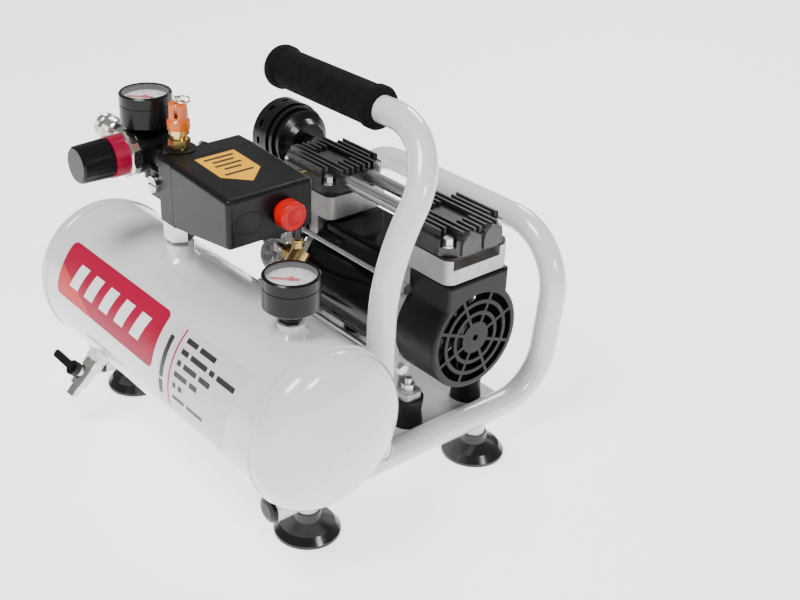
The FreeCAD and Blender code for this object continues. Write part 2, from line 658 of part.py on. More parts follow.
def end_cover(side):
    """Black moulded cover over one crank and fan, with a ringed and spoked grille in its face."""
    length = COVER_OUT - COVER_IN
    shell = softened(cover_section(0.0), 3.0, lambda edge: edge.BoundBox.XMin > length - 0.1)
    inside = cover_section(COVER_WALL)
    inside.translate(V(-COVER_WALL, 0, 0))
    shell = shell.cut(inside)
    rings = []
    for index in range(3):
        outer = 38.5 - index * 9.4
        rings.append(rod(V(length - 8, 0, 0), X_AXIS, 12, outer, outer - 6.2))
    spokes = []
    for index in range(4):
        bar = block((length - 9, -48, -1.3), (length + 6, 48, 1.3))
        bar.rotate(V(0, 0, 0), X_AXIS, 45 * index + 22.5)
        spokes.append(bar)
    grille = rings[0].fuse(rings[1:]).cut(spokes)
    bore = rod(V(length - 8, 0, 0), X_AXIS, 12, 2.6)
    cylinder = rod(V(HEAD_OFFSET - COVER_IN, 0, 10), Z_AXIS, 90, CYLINDER_R + 1.5)
    shell = cut(shell, grille, bore, cylinder)
    screws = [rod(V(-1, a * (SHOULDER_HALF - 6), 40), X_AXIS, 4, 2) for a in (1, -1)]
    shell = cut(shell, *screws)
    if side < 0:
        shell = shell.mirror(V(0, 0, 0), X_AXIS)
    shell.translate(V(PUMP_X + side * COVER_IN, PUMP_Y, SHAFT_Z))
    return shell


def cylinder_sleeves():
    """Anodised cylinder sleeves standing in the decks."""
    sleeves = []
    for side in (1, -1):
        start = V(PUMP_X + side * HEAD_OFFSET, PUMP_Y, DECK_LOW_Z - 2)
        sleeves.append(rod(start, Z_AXIS, DECK_TOP_Z - start.z, CYLINDER_R, CYLINDER_R - CYLINDER_WALL))
    return sleeves


def head_outline(x, low, high, shrink=0.0):
    """Eight-sided head plan between two heights."""
    half_x, half_y, corner = 36.5 - shrink, SHOULDER_HALF + 0.8 - shrink, 11.0
    plan = [(half_x, half_y - corner), (half_x - corner, half_y), (corner - half_x, half_y),
            (-half_x, half_y - corner), (-half_x, corner - half_y), (corner - half_x, -half_y),
            (half_x - corner, -half_y), (half_x, corner - half_y)]
    points = [V(x + a, PUMP_Y + b, low) for a, b in plan]
    return Part.Face(Part.makePolygon(points + points[:1])).extrude(Z_AXIS * (high - low))


def head_bolt_places(side):
    """The four bolt corners of one head."""
    x = PUMP_X + side * HEAD_OFFSET
    return [V(x + a * 27.0, PUMP_Y + b * 24.5, 0) for a in (1, -1) for b in (1, -1)]


def valve_plates():
    """Thin black plates between deck and head, with two valve holes."""
    plates = []
    for side in (1, -1):
        x = PUMP_X + side * HEAD_OFFSET
        plate = block((x - DECK_HALF_X + 1, PUMP_Y - SHOULDER_HALF + 0.5, DECK_TOP_Z),
                      (x + DECK_HALF_X - 1, PUMP_Y + SHOULDER_HALF - 0.5, HEAD_LOW_Z))
        plate = softened(plate, 7.0, along_z)
        holes = [rod(place + V(0, 0, DECK_TOP_Z - 1), Z_AXIS, 6, 3.0) for place in head_bolt_places(side)]
        valves = [rod(V(x + a * 9, PUMP_Y, DECK_TOP_Z - 1), Z_AXIS, 6, 3.0) for a in (1, -1)]
        plates.append(cut(plate, *holes, *valves))
    return plates


def cylinder_head(side):
    """Finned head: eight-sided body, long fins round a flat middle, two port lobes on the outer face."""
    x = PUMP_X + side * HEAD_OFFSET
    body = head_outline(x, HEAD_LOW_Z, HEAD_TOP_Z)
    fins = []
    count = 11
    pitch = 2 * (SHOULDER_HALF - 3) / (count - 1)
    for index in range(count):
        y = PUMP_Y - SHOULDER_HALF + 3 + index * pitch
        reach = 35.0 if abs(y - PUMP_Y) < 20 else 27.0
        fins.append(block((x - reach, y - 1.0, HEAD_TOP_Z - 1), (x + reach, y + 1.0, HEAD_TOP_Z + FIN_H)))
    middle = block((x - 16, PUMP_Y - 9, HEAD_TOP_Z - 0.6), (x + 16, PUMP_Y + 9, HEAD_TOP_Z + 2.2))
    clear = block((x - 16, PUMP_Y - 9, HEAD_TOP_Z + 2.2), (x + 16, PUMP_Y + 9, HEAD_TOP_Z + 9))
    lobes = []
    for offset in (-11, 11):
        root = x + side * 30
        lobe = rod(V(root, PUMP_Y + offset, HEAD_TOP_Z - 5), X_AXIS * side, LOBE_REACH - 30, 9.5)
        foot = block((min(root, x + side * LOBE_REACH), PUMP_Y + offset - 9.5, HEAD_LOW_Z + 0.6),
                     (max(root, x + side * LOBE_REACH), PUMP_Y + offset + 9.5, HEAD_TOP_Z - 5))
        lobes += [lobe, foot]
    below = block((x - 60, PUMP_Y - 60, HEAD_LOW_Z - 10), (x + 60, PUMP_Y + 60, HEAD_LOW_Z))
    head = fuse(body, *fins, middle, *lobes).cut([clear, below])
    pockets, holes = [], []
    for place in head_bolt_places(side):
        pockets.append(rod(place + V(0, 0, HEAD_LOW_Z + 7), Z_AXIS, 30, 6.2))
        away = V(1 if place.x > x else -1, 1 if place.y > PUMP_Y else -1, 0).normalize()
        pockets.append(Part.makeCylinder(6.2, 30, place + away * 5 + V(0, 0, HEAD_LOW_Z + 7), Z_AXIS))
        holes.append(rod(place + V(0, 0, HEAD_LOW_Z - 1), Z_AXIS, 30, 3.0))
    tubes = [rod(V(x, PUMP_Y + offset, TIE_TUBE_Z), X_AXIS * -side, 60, TIE_TUBE_R)
             for offset in (-TIE_TUBE_PITCH, TIE_TUBE_PITCH)]
    seats = [tube.common(block((x - 36.5 - 1, 0, 0), (x - 36.5 + 10, 300, 400)) if side > 0 else
                         block((x + 26.5, 0, 0), (x + 37.5, 300, 400))) for tube in tubes]
    return cut(head, *pockets, *holes, *seats)


def head_bolts():
    """Hex bolts with washers in the corners of both heads."""
    bolts = []
    for side in (1, -1):
        for place in head_bolt_places(side):
            seat = place + V(0, 0, HEAD_LOW_Z + 7)
            shank = rod(place + V(0, 0, DECK_TOP_Z), Z_AXIS, GASKET_T + 8, 2.9)
            top = hexagon(seat + V(0, 0, 1.1), Z_AXIS, 8, 5.5)
            bolts.append(fuse(shank, rod(seat, Z_AXIS, 1.2, 5.6), top))
    return bolts


def tie_tubes():
    """Two aluminium air tubes between the heads."""
    half = HEAD_OFFSET - 36.5 + 9.5
    tubes = []
    for offset in (-TIE_TUBE_PITCH, TIE_TUBE_PITCH):
        start = V(PUMP_X - half, PUMP_Y + offset, TIE_TUBE_Z)
        tubes.append(rod(start, X_AXIS, 2 * half, TIE_TUBE_R - 0.02, TIE_TUBE_R - 1.2))
    return tubes


# ---- intake filter -------------------------------------------------------------
def filter_housing():
    """Stepped inner half of the filter with its screw spigot."""
    length = FILTER_IN_X - FILTER_SPLIT_X
    profile = [(0, FILTER_R - 2.4), (0, FILTER_R), (5, FILTER_R), (5, FILTER_R - 3), (8, FILTER_R - 3),
               (8, FILTER_R - 1.5), (12, FILTER_R - 1.5), (12, FILTER_R - 5), (15, FILTER_R - 5),
               (15, FILTER_R - 4), (19, FILTER_R - 4), (22, FILTER_R - 10), (length - 6, FILTER_R - 13),
               (length - 6, 8), (length, 8), (length, 4), (length - 8, 4), (length - 8, FILTER_R - 16),
               (19, FILTER_R - 12.5), (17, FILTER_R - 7), (3, FILTER_R - 7.5), (2, FILTER_R - 2.4)]
    return turned(profile, V(FILTER_SPLIT_X, FILTER_Y, FILTER_Z), X_AXIS, Z_AXIS)


def filter_cap():
    """Twist-off outer cap with a slotted rim."""
    profile = [(0, 0), (0, FILTER_R - 6), (1.5, FILTER_R - 2), (4, FILTER_R), (18.6, FILTER_R),
               (18.6, FILTER_R - 2.4),
               (3, FILTER_R - 2.4), (3, 0)]
    cap = turned(profile, V(FILTER_END_X, FILTER_Y, FILTER_Z), X_AXIS, Z_AXIS)
    slots = []
    for index in range(12):
        slot = block((11, -3.2, FILTER_R - 6), (15, 3.2, FILTER_R + 3))
        slot.rotate(V(0, 0, 0), X_AXIS, 30 * index)
        slot.translate(V(FILTER_END_X, FILTER_Y, FILTER_Z))
        slots.append(slot)
    return cut(cap, *slots)


def filter_element():
    """Felt disc clamped inside the filter."""
    return rod(V(FILTER_END_X + 3.4, FILTER_Y, FILTER_Z), X_AXIS, 7, FILTER_R - 3.4)


# ---- pressure switch -----------------------------------------------------------
def switch_wedge(low_x, grow):
    """Tapered switch body from low_x to the button face, shrunk all round by grow."""
    def section(x, low, high):
        corners = [V(x, SWITCH_FRONT_Y + grow, low + grow), V(x, SWITCH_REAR_Y - grow, low + grow),
                   V(x, SWITCH_REAR_Y - grow, high - grow), V(x, SWITCH_FRONT_Y + grow, high - grow)]
        return Part.makePolygon(corners + corners[:1])
    first = section(low_x, SWITCH_LOW_Z, SWITCH_TOP_Z)
    last = section(SWITCH_END_X - grow, SWITCH_LOW_Z + 11, SWITCH_TOP_Z - 4.5)
    return Part.makeLoft([first, last], True)


def switch_cover():
    """Black moulded cover: a tapered box with rounded edges and a hole for the button."""
    shell = softened(switch_wedge(SWITCH_X + 0.4, 0.0), 4.0, lambda edge: edge.BoundBox.XMax > SWITCH_X + 5)
    shell = shell.cut(switch_wedge(SWITCH_X - 1, 2.2))
    hole = rod(V(SWITCH_END_X - 6, BUTTON_Y, BUTTON_Z), X_AXIS, 12, BUTTON_R - 2 + GAP)
    return shell.cut(hole)


def switch_base():
    """Cast switch base: the back plate of the cover and the four-way air block in front of it."""
    plate = block((SWITCH_BACK_X, SWITCH_FRONT_Y, SWITCH_LOW_Z), (SWITCH_X, SWITCH_REAR_Y, SWITCH_TOP_Z))
    plate = softened(plate, 3.0, lambda edge: abs(edge.tangentAt(edge.FirstParameter).x) > 0.9)
    x, y = MANIFOLD_X, MANIFOLD_Y
    column = rod(V(x, y, SWITCH_LOW_Z - 2), Z_AXIS, SWITCH_TOP_Z - SWITCH_LOW_Z + 3, 13.0)
    arm = rod(V(x, y, LINE_Z), X_AXIS * -1, 17, 10.0)
    lug = block((x - 12, SWITCH_FRONT_Y + 1, PLUG_Z - 12), (x + 6, y, PLUG_Z + 10))
    nose = rod(V(x - 4, y, PLUG_Z), Y_AXIS * -1, y - SWITCH_FRONT_Y, 8.0)
    glands = [rod(V(SWITCH_BACK_X + 1, side_y, side_z), X_AXIS * -1, GLAND_LENGTH + 1, 6.5)
              for side_y, side_z in gland_places()]
    body = fuse(plate, column, arm, lug, nose, *glands)
    bores = [rod(V(x, y, SWITCH_LOW_Z - 3), Z_AXIS, SWITCH_TOP_Z - SWITCH_LOW_Z + 6, 4.0),
             rod(V(x - 20, y, LINE_Z), X_AXIS, 20, 4.0)]
    cords = [rod(V(SWITCH_BACK_X - GLAND_LENGTH - 1, side_y, side_z), X_AXIS, 6, CABLE_R + 0.02)
             for side_y, side_z in gland_places()]
    return cut(body, *bores, *cords)


def gland_places():
    """Y and Z of the two cable glands on the base's back: motor lead, mains lead."""
    return [(-33.0, 222.0), (-36.0, 242.0)]


def switch_button():
    """Red round push button on a plastic stem."""
    stem = rod(V(SWITCH_END_X - 8, BUTTON_Y, BUTTON_Z), X_AXIS, 13, BUTTON_R - 2)
    head = rod(V(SWITCH_END_X + BUTTON_TRAVEL + 0.6, BUTTON_Y, BUTTON_Z), X_AXIS, 10.2, BUTTON_R + 1)
    head = softened(head, 1.8, lambda edge: edge.BoundBox.XMin > SWITCH_END_X + 10)
    dish = Part.makeSphere(22, V(SWITCH_END_X + 14.8 + 21, BUTTON_Y, BUTTON_Z))
    return fuse(stem, head).cut(dish)


# ---- air line ------------------------------------------------------------------
def pipe_fittings():
    """Plated hex fittings: tank neck, slotted plug, line nipple, filter nipple and gauge necks."""
    neck_face = boss_face(1, "switch")[0]
    neck_low = V(MANIFOLD_X, TANK_Y, neck_face.z)
    neck_nut = hexagon(neck_low + V(0, 0, 4), Z_AXIS, 21, SWITCH_LOW_Z - 6.2 - neck_low.z)
    washer = rod(V(MANIFOLD_X, TANK_Y, SWITCH_LOW_Z - 4), Z_AXIS, 2, 9)
    neck = fuse(rod(neck_low, Z_AXIS, 8, 6.5), neck_nut, washer)
    neck = neck.cut(rod(neck_low - Z_AXIS, Z_AXIS, 60, 4.0))
    plug_y = SWITCH_FRONT_Y
    plug = rod(V(MANIFOLD_X - 4, plug_y, PLUG_Z), Y_AXIS * -1, 3, 6.5)
    slot = block((MANIFOLD_X - 12, plug_y - 4, PLUG_Z - 0.9), (MANIFOLD_X + 4, plug_y - 1.4, PLUG_Z + 0.9))
    plug = plug.cut(slot)
    line = fuse(rod(V(MANIFOLD_X - 17, MANIFOLD_Y, LINE_Z), X_AXIS * -1, 14, 6.5, 4.0),
                hexagon(V(MANIFOLD_X - 19, MANIFOLD_Y, LINE_Z), X_AXIS * -1, 15, 6, 4.0))
    nipple = fuse(rod(V(HEAD_FACE_X, FILTER_Y, FILTER_Z), X_AXIS * -1, HEAD_FACE_X - FILTER_IN_X, 6.5, 4.0),
                  hexagon(V(HEAD_FACE_X - 3, FILTER_Y, FILTER_Z), X_AXIS * -1, 15, 7, 4.0))
    return [neck, plug, line, nipple]


def regulator_body():
    """Black cast regulator: round body, through line, gauge neck and bottom plug."""
    body = rod(V(REGULATOR_X, REGULATOR_FRONT_Y, KNOB_Z), Y_AXIS, REGULATOR_LENGTH, REGULATOR_BODY_R)
    body = softened(body, 2.0)
    line = rod(V(MANIFOLD_X - 31, MANIFOLD_Y, LINE_Z), X_AXIS * -1, 38, 10.0)
    neck = rod(V(REGULATOR_X, REGULATOR_Y - 3, KNOB_Z), Z_AXIS, LINE_NECK_Z - KNOB_Z, 8.5)
    drain = rod(V(REGULATOR_X, REGULATOR_Y + 2, KNOB_Z), Z_AXIS * -1, REGULATOR_BODY_R + 7, 9.0)
    outlet = rod(V(REGULATOR_X, MANIFOLD_Y, LINE_Z), X_AXIS * -1, 23, 8.0)
    bore = rod(V(MANIFOLD_X - 30, MANIFOLD_Y, LINE_Z), X_AXIS * -1, 80, 4.0)
    return fuse(body, line, neck, drain, outlet).cut(bore)


def regulator_nut():
    """Plated panel nut in front of the regulator body, its front corners chamfered."""
    start = V(REGULATOR_X, REGULATOR_FRONT_Y, KNOB_Z)
    bore, rim = SPINDLE_R + FIT, REGULATOR_BODY_R + 1.0
    profile = [(0, bore), (0, rim), (NUT_T - 2, rim), (NUT_T, rim - 2), (NUT_T, bore)]
    flats = hexagon(start + V(0, 1, 0), Y_AXIS * -1, 2 * REGULATOR_BODY_R - 0.5, NUT_T + 2)
    return turned(profile, start, Y_AXIS * -1, X_AXIS).common(flats)


def regulator_ring():
    """Dark red ring between nut and knob."""
    start = V(REGULATOR_X, REGULATOR_FRONT_Y - NUT_T, KNOB_Z)
    return rod(start, Y_AXIS * -1, RING_T, KNOB_R + 0.8, SPINDLE_R + FIT)


def regulator_knob():
    """Fluted adjusting knob on its spindle."""
    rear = REGULATOR_FRONT_Y - NUT_T - RING_T - GAP
    length = rear - KNOB_FACE_Y
    profile = [(0, 0), (0, KNOB_R - 2.4), (1.6, KNOB_R - 0.8), (length - 2, KNOB_R), (length, KNOB_R - 0.6),
               (length, 0)]
    knob = turned(profile, V(REGULATOR_X, KNOB_FACE_Y, KNOB_Z), Y_AXIS, X_AXIS)
    flutes = []
    for index in range(FLUTES):
        angle = math.radians(360 / FLUTES * index)
        out = V(math.cos(angle), 0, math.sin(angle)) * (KNOB_R + 0.7)
        flutes.append(rod(V(REGULATOR_X, KNOB_FACE_Y + 4, KNOB_Z) + out, Y_AXIS, length, 1.5))
    spindle = rod(V(REGULATOR_X, rear - 1, KNOB_Z), Y_AXIS, REGULATOR_FRONT_Y - rear + 0.6, SPINDLE_R)
    return fuse(cut(knob, *flutes), spindle)


def gauge_places():
    """Middle of the top edge of each gauge: line gauge, tank gauge."""
    return [V(REGULATOR_X, REGULATOR_Y - 3, LINE_GAUGE_TOP), V(TANK_GAUGE_X, TANK_Y, TANK_GAUGE_TOP)]


def gauge_cases():
    """Black gauge cans with a rolled bezel and a neck below."""
    cases = []
    neck_ends = [LINE_NECK_Z, boss_face(0, "gauge")[0].z]
    for top, neck_end in zip(gauge_places(), neck_ends):
        low = -GAUGE_H
        groove, bore = GAUGE_R - 0.5, GAUGE_R - 2.4
        profile = [(low, 0), (low, GAUGE_R - 1.5), (low + 1.5, GAUGE_R), (-9.5, GAUGE_R), (-9.5, groove),
                   (-8.7, groove), (-8.7, GAUGE_R), (-1, GAUGE_R), (0, GAUGE_R - 1), (0, bore),
                   (-6, bore), (-6, 0)]
        can = turned(profile, top, Z_AXIS, X_AXIS)
        free = top.z - GAUGE_H - neck_end
        neck = rod(V(top.x, top.y, neck_end), Z_AXIS, free + 1, 6.0)
        cases.append(fuse(can, neck, hexagon(V(top.x, top.y, neck_end), Z_AXIS, 14, min(4.5, free + 0.5))))
    return cases


def gauge_dials():
    """Printed dial discs."""
    return [rod(top + V(0, 0, -6), Z_AXIS, 0.6, GAUGE_R - 2.6) for top in gauge_places()]


def gauge_lenses():
    """Clear lenses pressed into the bezels."""
    return [rod(top + V(0, 0, -2.2), Z_AXIS, 1.4, GAUGE_R - 2.45) for top in gauge_places()]


def gauge_needle(top):
    """Pointer with its tail and hub, resting on the zero stop at the dial's lower left."""
    pivot = top + V(0, 0, -5.1)
    pointer = block((-0.5, -1.0, 0), (GAUGE_R - 6, 1.0, 0.5))
    tail = block((-6, -1.4, 0), (0, 1.4, 0.5))
    hub = rod(V(0, 0, -0.2), Z_AXIS, 1.6, 2.0)
    needle = fuse(pointer, tail, hub)
    needle.rotate(V(0, 0, 0), Z_AXIS, 225)
    needle.translate(pivot)
    return needle


def quick_coupler():
    """Coupler body: hex end, waist and socket, bored through."""
    start = REGULATOR_X - 23.0
    length = start - COUPLER_END_X
    origin = V(COUPLER_END_X, MANIFOLD_Y, LINE_Z)
    profile = [(0, 3.9), (0, 7.2), (length - 12, 7.2), (length - 12, 9.5), (length - 3, 9.5), (length, 7.5),
               (length, 3.0), (14, 3.0), (13, 3.9)]
    return turned(profile, origin, X_AXIS, Z_AXIS)


def coupler_sleeve():
    """Knurled release sleeve that slides back over the coupler body."""
    profile = [(0, 8.2), (0, 9.6), (1.2, 10.6), (7, 10.6), (8, 9.8), (11, 9.8), (12, 10.6), (23.5, 10.6),
               (25, 9.6), (25, 7.2 + FIT), (2.5, 7.2 + FIT)]
    return turned(profile, V(COUPLER_END_X - 0.8, MANIFOLD_Y, LINE_Z), X_AXIS, Z_AXIS)


# ---- safety valve --------------------------------------------------------------
def safety_valve_body():
    """Brass base with hex and waist."""
    low = V(MANIFOLD_X, MANIFOLD_Y, SWITCH_TOP_Z + 1)
    steps = [rod(low, Z_AXIS, 6, 6.0), hexagon(low + V(0, 0, 1.5), Z_AXIS, 15, 6),
             rod(low + V(0, 0, 7), Z_AXIS, 5, 5.5), rod(low + V(0, 0, 11.5), Z_AXIS, 4, 8.0)]
    return fuse(*steps).cut(rod(low + V(0, 0, -1), Z_AXIS, 20, 3.4))


def safety_valve_cap():
    """Translucent cap with four vent slots, open at the top for the pull stem."""
    low = V(MANIFOLD_X, MANIFOLD_Y, SWITCH_TOP_Z + 16.5)
    top = VALVE_TOP_Z - 3.0 - low.z
    profile = [(0, 3.4), (0, 8.8), (6.5, 8.8), (8, 7.4), (top - 1, 7.0), (top, 6.2), (top, 2.2),
               (top - 2, 2.2), (top - 2, 5.6), (7, 6.0), (5, 7.0), (1.5, 7.0), (1.5, 3.4)]
    cap = turned(profile, low, Z_AXIS, X_AXIS)
    slots = []
    for index in range(4):
        slot = block((4, -1.4, 9.5), (10, 1.4, top - 4))
        slot.rotate(V(0, 0, 0), Z_AXIS, 90 * index + 45)
        slot.translate(low)
        slots.append(slot)
    return cut(cap, *slots)


def safety_valve_pull():
    """Stem with its eye and the split ring that lifts it."""
    low = V(MANIFOLD_X, MANIFOLD_Y, SWITCH_TOP_Z + 13)
    stem = rod(low, Z_AXIS, VALVE_TOP_Z - low.z, 1.8)
    button = rod(V(low.x, low.y, VALVE_TOP_Z - 2.0), Z_AXIS, 3.0, 2.8)
    centre = V(low.x + 5.6, low.y + 1.6, VALVE_TOP_Z + 0.2)
    ring = Part.makeTorus(5.0, 0.7, centre, V(0.2, -0.1, 0.97))
    return fuse(stem, button, ring)


# ---- tank fittings -------------------------------------------------------------
def check_middle():
    """Where the check valve's two outlets branch from its axis."""
    face, axis = boss_face(2, "check")
    return face + axis * CHECK_BODY


def check_valve():
    """Brass check valve on the rear boss with a hose port and an upright port for the thin tube."""
    face, axis = boss_face(2, "check")
    middle = check_middle()
    body = fuse(rod(face, axis, CHECK_BODY + 6, 8.0), hexagon(face + axis * 2, axis, 18, 9))
    hose_nut = hexagon(middle - X_AXIS * 8, X_AXIS * -1, 12, 5)
    hose_port = fuse(rod(middle, X_AXIS * -1, CHECK_PORT, 5.5), hose_nut)
    tube_port = fuse(rod(middle, Z_AXIS, CHECK_PORT, 4.0), hexagon(middle + Z_AXIS * 9, Z_AXIS, 8.5, 4))
    return fuse(body, hose_port, tube_port)


def drain_valve_body():
    """Nickel ball valve under the tank's front, with its outlet spout."""
    face, axis = boss_face(3, "drain")
    barrel = rod(face, axis, 26, 7.5)
    collar = hexagon(face + axis * 1, axis, 17, 7)
    spout = rod(face + axis * 24, axis, 12, 5.0)
    inlet = rod(face - axis * 1, axis, 15, 2.6)
    seat = rod(face + axis * 15, axis, BALL_R + 1, 4.0)
    outlet = rod(face + axis * 15, axis, 25, 3.0)
    cavity = Part.makeSphere(BALL_R + GAP, face + axis * 15)
    side = drain_stem_axis()
    stem_hole = rod(face + axis * 15, side, 14, 2.2 + FIT)
    tower = rod(face + axis * 15, side, 10.5, 4.6)
    return fuse(barrel, collar, spout, tower).cut([inlet, seat, outlet, cavity, stem_hole])


def drain_stem_axis():
    """Direction of the drain valve's stem: to the front and up, square to the port."""
    return V(0, -math.cos(DRAIN_TILT), math.sin(DRAIN_TILT))


def drain_closed_axis():
    """Direction of the closed lever, along the tank and square to the port."""
    return X_AXIS * -1


def drain_ball():
    """Bored ball with its stem, shown closed."""
    face, axis = boss_face(3, "drain")
    centre = face + axis * 15
    bore = drain_closed_axis()
    ball = Part.makeSphere(BALL_R, centre).cut(rod(centre - bore * 8, bore, 16, 3.0))
    return fuse(ball, rod(centre + drain_stem_axis() * 4.5, drain_stem_axis(), 9.0, 2.2))


def drain_lever():
    """Black lever with its screw head on the stem."""
    face, axis = boss_face(3, "drain")
    side = drain_stem_axis()
    hub = face + axis * 15 + side * 11.0
    reach = drain_closed_axis()
    bar = softened(block((-3.5, 0, 0), (3.5, 32, 4.5)), 3.0, along_z)
    bar.Placement = FreeCAD.Placement(hub + side * 0.6, FreeCAD.Rotation(axis * -1, reach, side, "ZXY"))
    boss = rod(hub, side, 5.5, 6.5)
    screw = rod(hub + side * 5.2, side, 2.4, 3.4)
    return fuse(boss, bar, screw).cut(rod(hub - side, side, 3.5, 2.2))


# ---- capacitor -----------------------------------------------------------------
def capacitor_housing():
    """Capacitor can lying in a clip on the plate, with a larger moulded end cap."""
    z = PLATE_TOP_Z + CAPACITOR_R + 3.0
    length = CAPACITOR_REAR_Y - CAPACITOR_FRONT_Y
    can = rod(V(CAPACITOR_X, CAPACITOR_FRONT_Y, z), Y_AXIS, length - 8, CAPACITOR_R - 1)
    cap = softened(rod(V(CAPACITOR_X, CAPACITOR_REAR_Y - 24, z), Y_AXIS, 24, CAPACITOR_R + 1), 3.0,
                   lambda edge: edge.BoundBox.YMin > CAPACITOR_REAR_Y - 0.1)
    return fuse(can, cap, rod(V(CAPACITOR_X, CAPACITOR_FRONT_Y + 16, z), Z_AXIS, CAPACITOR_R + 5, 6.0))


def capacitor_clip():
    """Bent strap that holds the can down, with its screw."""
    z = PLATE_TOP_Z + CAPACITOR_R + 3.0
    low, high = CAPACITOR_FRONT_Y + 28, CAPACITOR_FRONT_Y + 38
    band = rod(V(CAPACITOR_X, low, z), Y_AXIS, high - low, CAPACITOR_R + 0.8, CAPACITOR_R - 1)
    foot = block((CAPACITOR_X + 8, low, PLATE_TOP_Z), (CAPACITOR_X + 34, high, PLATE_TOP_Z + 3.0))
    rest = block((CAPACITOR_X - 10, low, PLATE_TOP_Z), (CAPACITOR_X + 10, high, PLATE_TOP_Z + 5.0))
    rest = rest.cut(rod(V(CAPACITOR_X, low - 1, z), Y_AXIS, high - low + 2, CAPACITOR_R - 0.9))
    screw = rod(V(CAPACITOR_X + 28, (low + high) / 2, PLATE_TOP_Z + 2.5), Z_AXIS, 3, 4.0)
    return fuse(band, foot, rest, screw)


# ---- hoses and cables ----------------------------------------------------------
def outlet_elbow():
    """Brass elbow on the front of the left head."""
    tail = rod(OUTLET - Z_AXIS * 2, Z_AXIS, 10, 5.8)
    arm = rod(OUTLET + Z_AXIS * 4, Y_AXIS, 8.15, 5.0)
    return fuse(tail, arm, hexagon(OUTLET - Z_AXIS * 1, Z_AXIS, 12, 4))


def discharge_route():
    """Braided hose from the check valve, down behind the tank and up to the left head."""
    start = check_middle() - X_AXIS * CHECK_PORT
    end = OUTLET - Z_AXIS * 2
    return [start, start - X_AXIS * 14, V(3, -20, 175), V(-7, -14, 158), V(-14, -1, 143), V(-25, 15, 138),
            V(-37, 28, 148), V(-43, 36, 165), end - Z_AXIS * 16, end]


def thin_tube_route():
    """Unloader tube from the check valve, past the filter side and back to the switch."""
    start = check_middle() + Z_AXIS * CHECK_PORT
    end = nozzle_root() - X_AXIS * NOZZLE_LENGTH
    return [start, start + Z_AXIS * 12, V(41.5, -14, 222), V(28, -9, 226.5), V(10, -7, 224),
            V(-12, -7, 214.5), V(-38, -7, 200), V(-63, -7, 189), V(-88, -9, 185), V(-109, -14, 194),
            V(-121, -22, 212), V(-119, -32, 232), V(-104, -42, 243), V(-84, -48.5, 241),
            end - X_AXIS * 20, end]


def motor_lead_route():
    """Motor lead from its gland, behind the filter, down to the capacitor."""
    y, z = gland_places()[0]
    end = V(CAPACITOR_X, CAPACITOR_FRONT_Y + 16, PLATE_TOP_Z + 2 * CAPACITOR_R + 8.0)
    return [V(SWITCH_BACK_X - GLAND_LENGTH, y, z), V(-56, -31, 221), V(-76, -21, 212), V(-94, -4, 197),
            V(-108, 15, 180), V(-119, 34, 160), V(-122, 50, 138), V(-114, 60, 118), end + V(-4, -1, 14), end]


def mains_route():
    """Mains lead from its gland, behind the filter and down to the floor beside the coil."""
    y, z = gland_places()[1]
    return [V(SWITCH_BACK_X - GLAND_LENGTH, y, z), V(-57, -35, 243), V(-79, -27, 238), V(-101, -11, 224),
            V(-121, 8, 205), V(-140, 28, 182), V(-156, 50, 155), V(-170, 74, 126), V(-181, 98, 95),
            V(-188, 120, 66), V(-191, 140, 42), V(-189, 158, 25), V(-182, 174, 15), V(-171, 186, 11.5),
            V(-157, 193, 11),
            COIL + V(0, -COIL_MID_R, 11)]


def mains_tail_route():
    """Short end of the mains lead from the coil to its plug."""
    return [COIL + V(0, COIL_MID_R, 4), V(-158, 277, 4.5), V(-176, 277, 10), V(-192, 277.6, 16), PLUG_END]


def cord(points, radius, name):
    """A cord's solid along its route; its bend radii are printed."""
    radii = cord_radii(points)
    path = bent_path(points, radii)
    print(name, "length", round(path.Length), "bend radii", [round(value) for value in radii])
    tube = swept(path, radius)
    expected = math.pi * radius ** 2 * path.Length
    assert abs(tube.Volume / expected - 1) < 0.02, name
    return tube


def mains_coil():
    """Outer shape of the coiled part of the mains lead, lying on the floor."""
    profile = [(0.2, COIL_HOLE_R + 2), (0.2, COIL_R - 2), (2.2, COIL_R), (COIL_H - 2, COIL_R),
               (COIL_H, COIL_R - 2), (COIL_H, COIL_HOLE_R + 2), (COIL_H - 2, COIL_HOLE_R),
               (2.2, COIL_HOLE_R)]
    return turned(profile, COIL, Z_AXIS, X_AXIS)


def mains_plug():
    """Round two-pin plug with a ribbed strain relief, lying on the floor."""
    sleeve, body_end = 14.0, PLUG_LENGTH
    profile = [(0, 0), (0, CABLE_R + 1.2), (sleeve, CABLE_R + 3), (sleeve, PLUG_R - 6),
               (sleeve + 6, PLUG_R - 1), (body_end - 4, PLUG_R), (body_end, PLUG_R), (body_end, 0)]
    body = turned(profile, PLUG_END, X_AXIS * -1, Z_AXIS)
    pins = [rod(PLUG_END + V(-body_end + 0.5, side * 9.5, 0), X_AXIS * -1, 19, 2.4) for side in (1, -1)]
    return fuse(body, *pins)


def nozzle_root():
    """Where the thin tube's nozzle leaves the switch base."""
    return V(SWITCH_BACK_X, -50.0, 234.0)


def tube_nozzle():
    """Brass nozzle on the switch base for the thin tube."""
    start = nozzle_root()
    return fuse(rod(start, X_AXIS * -1, NOZZLE_LENGTH, 3.6), hexagon(start - X_AXIS * 5, X_AXIS * -1, 9, 4))


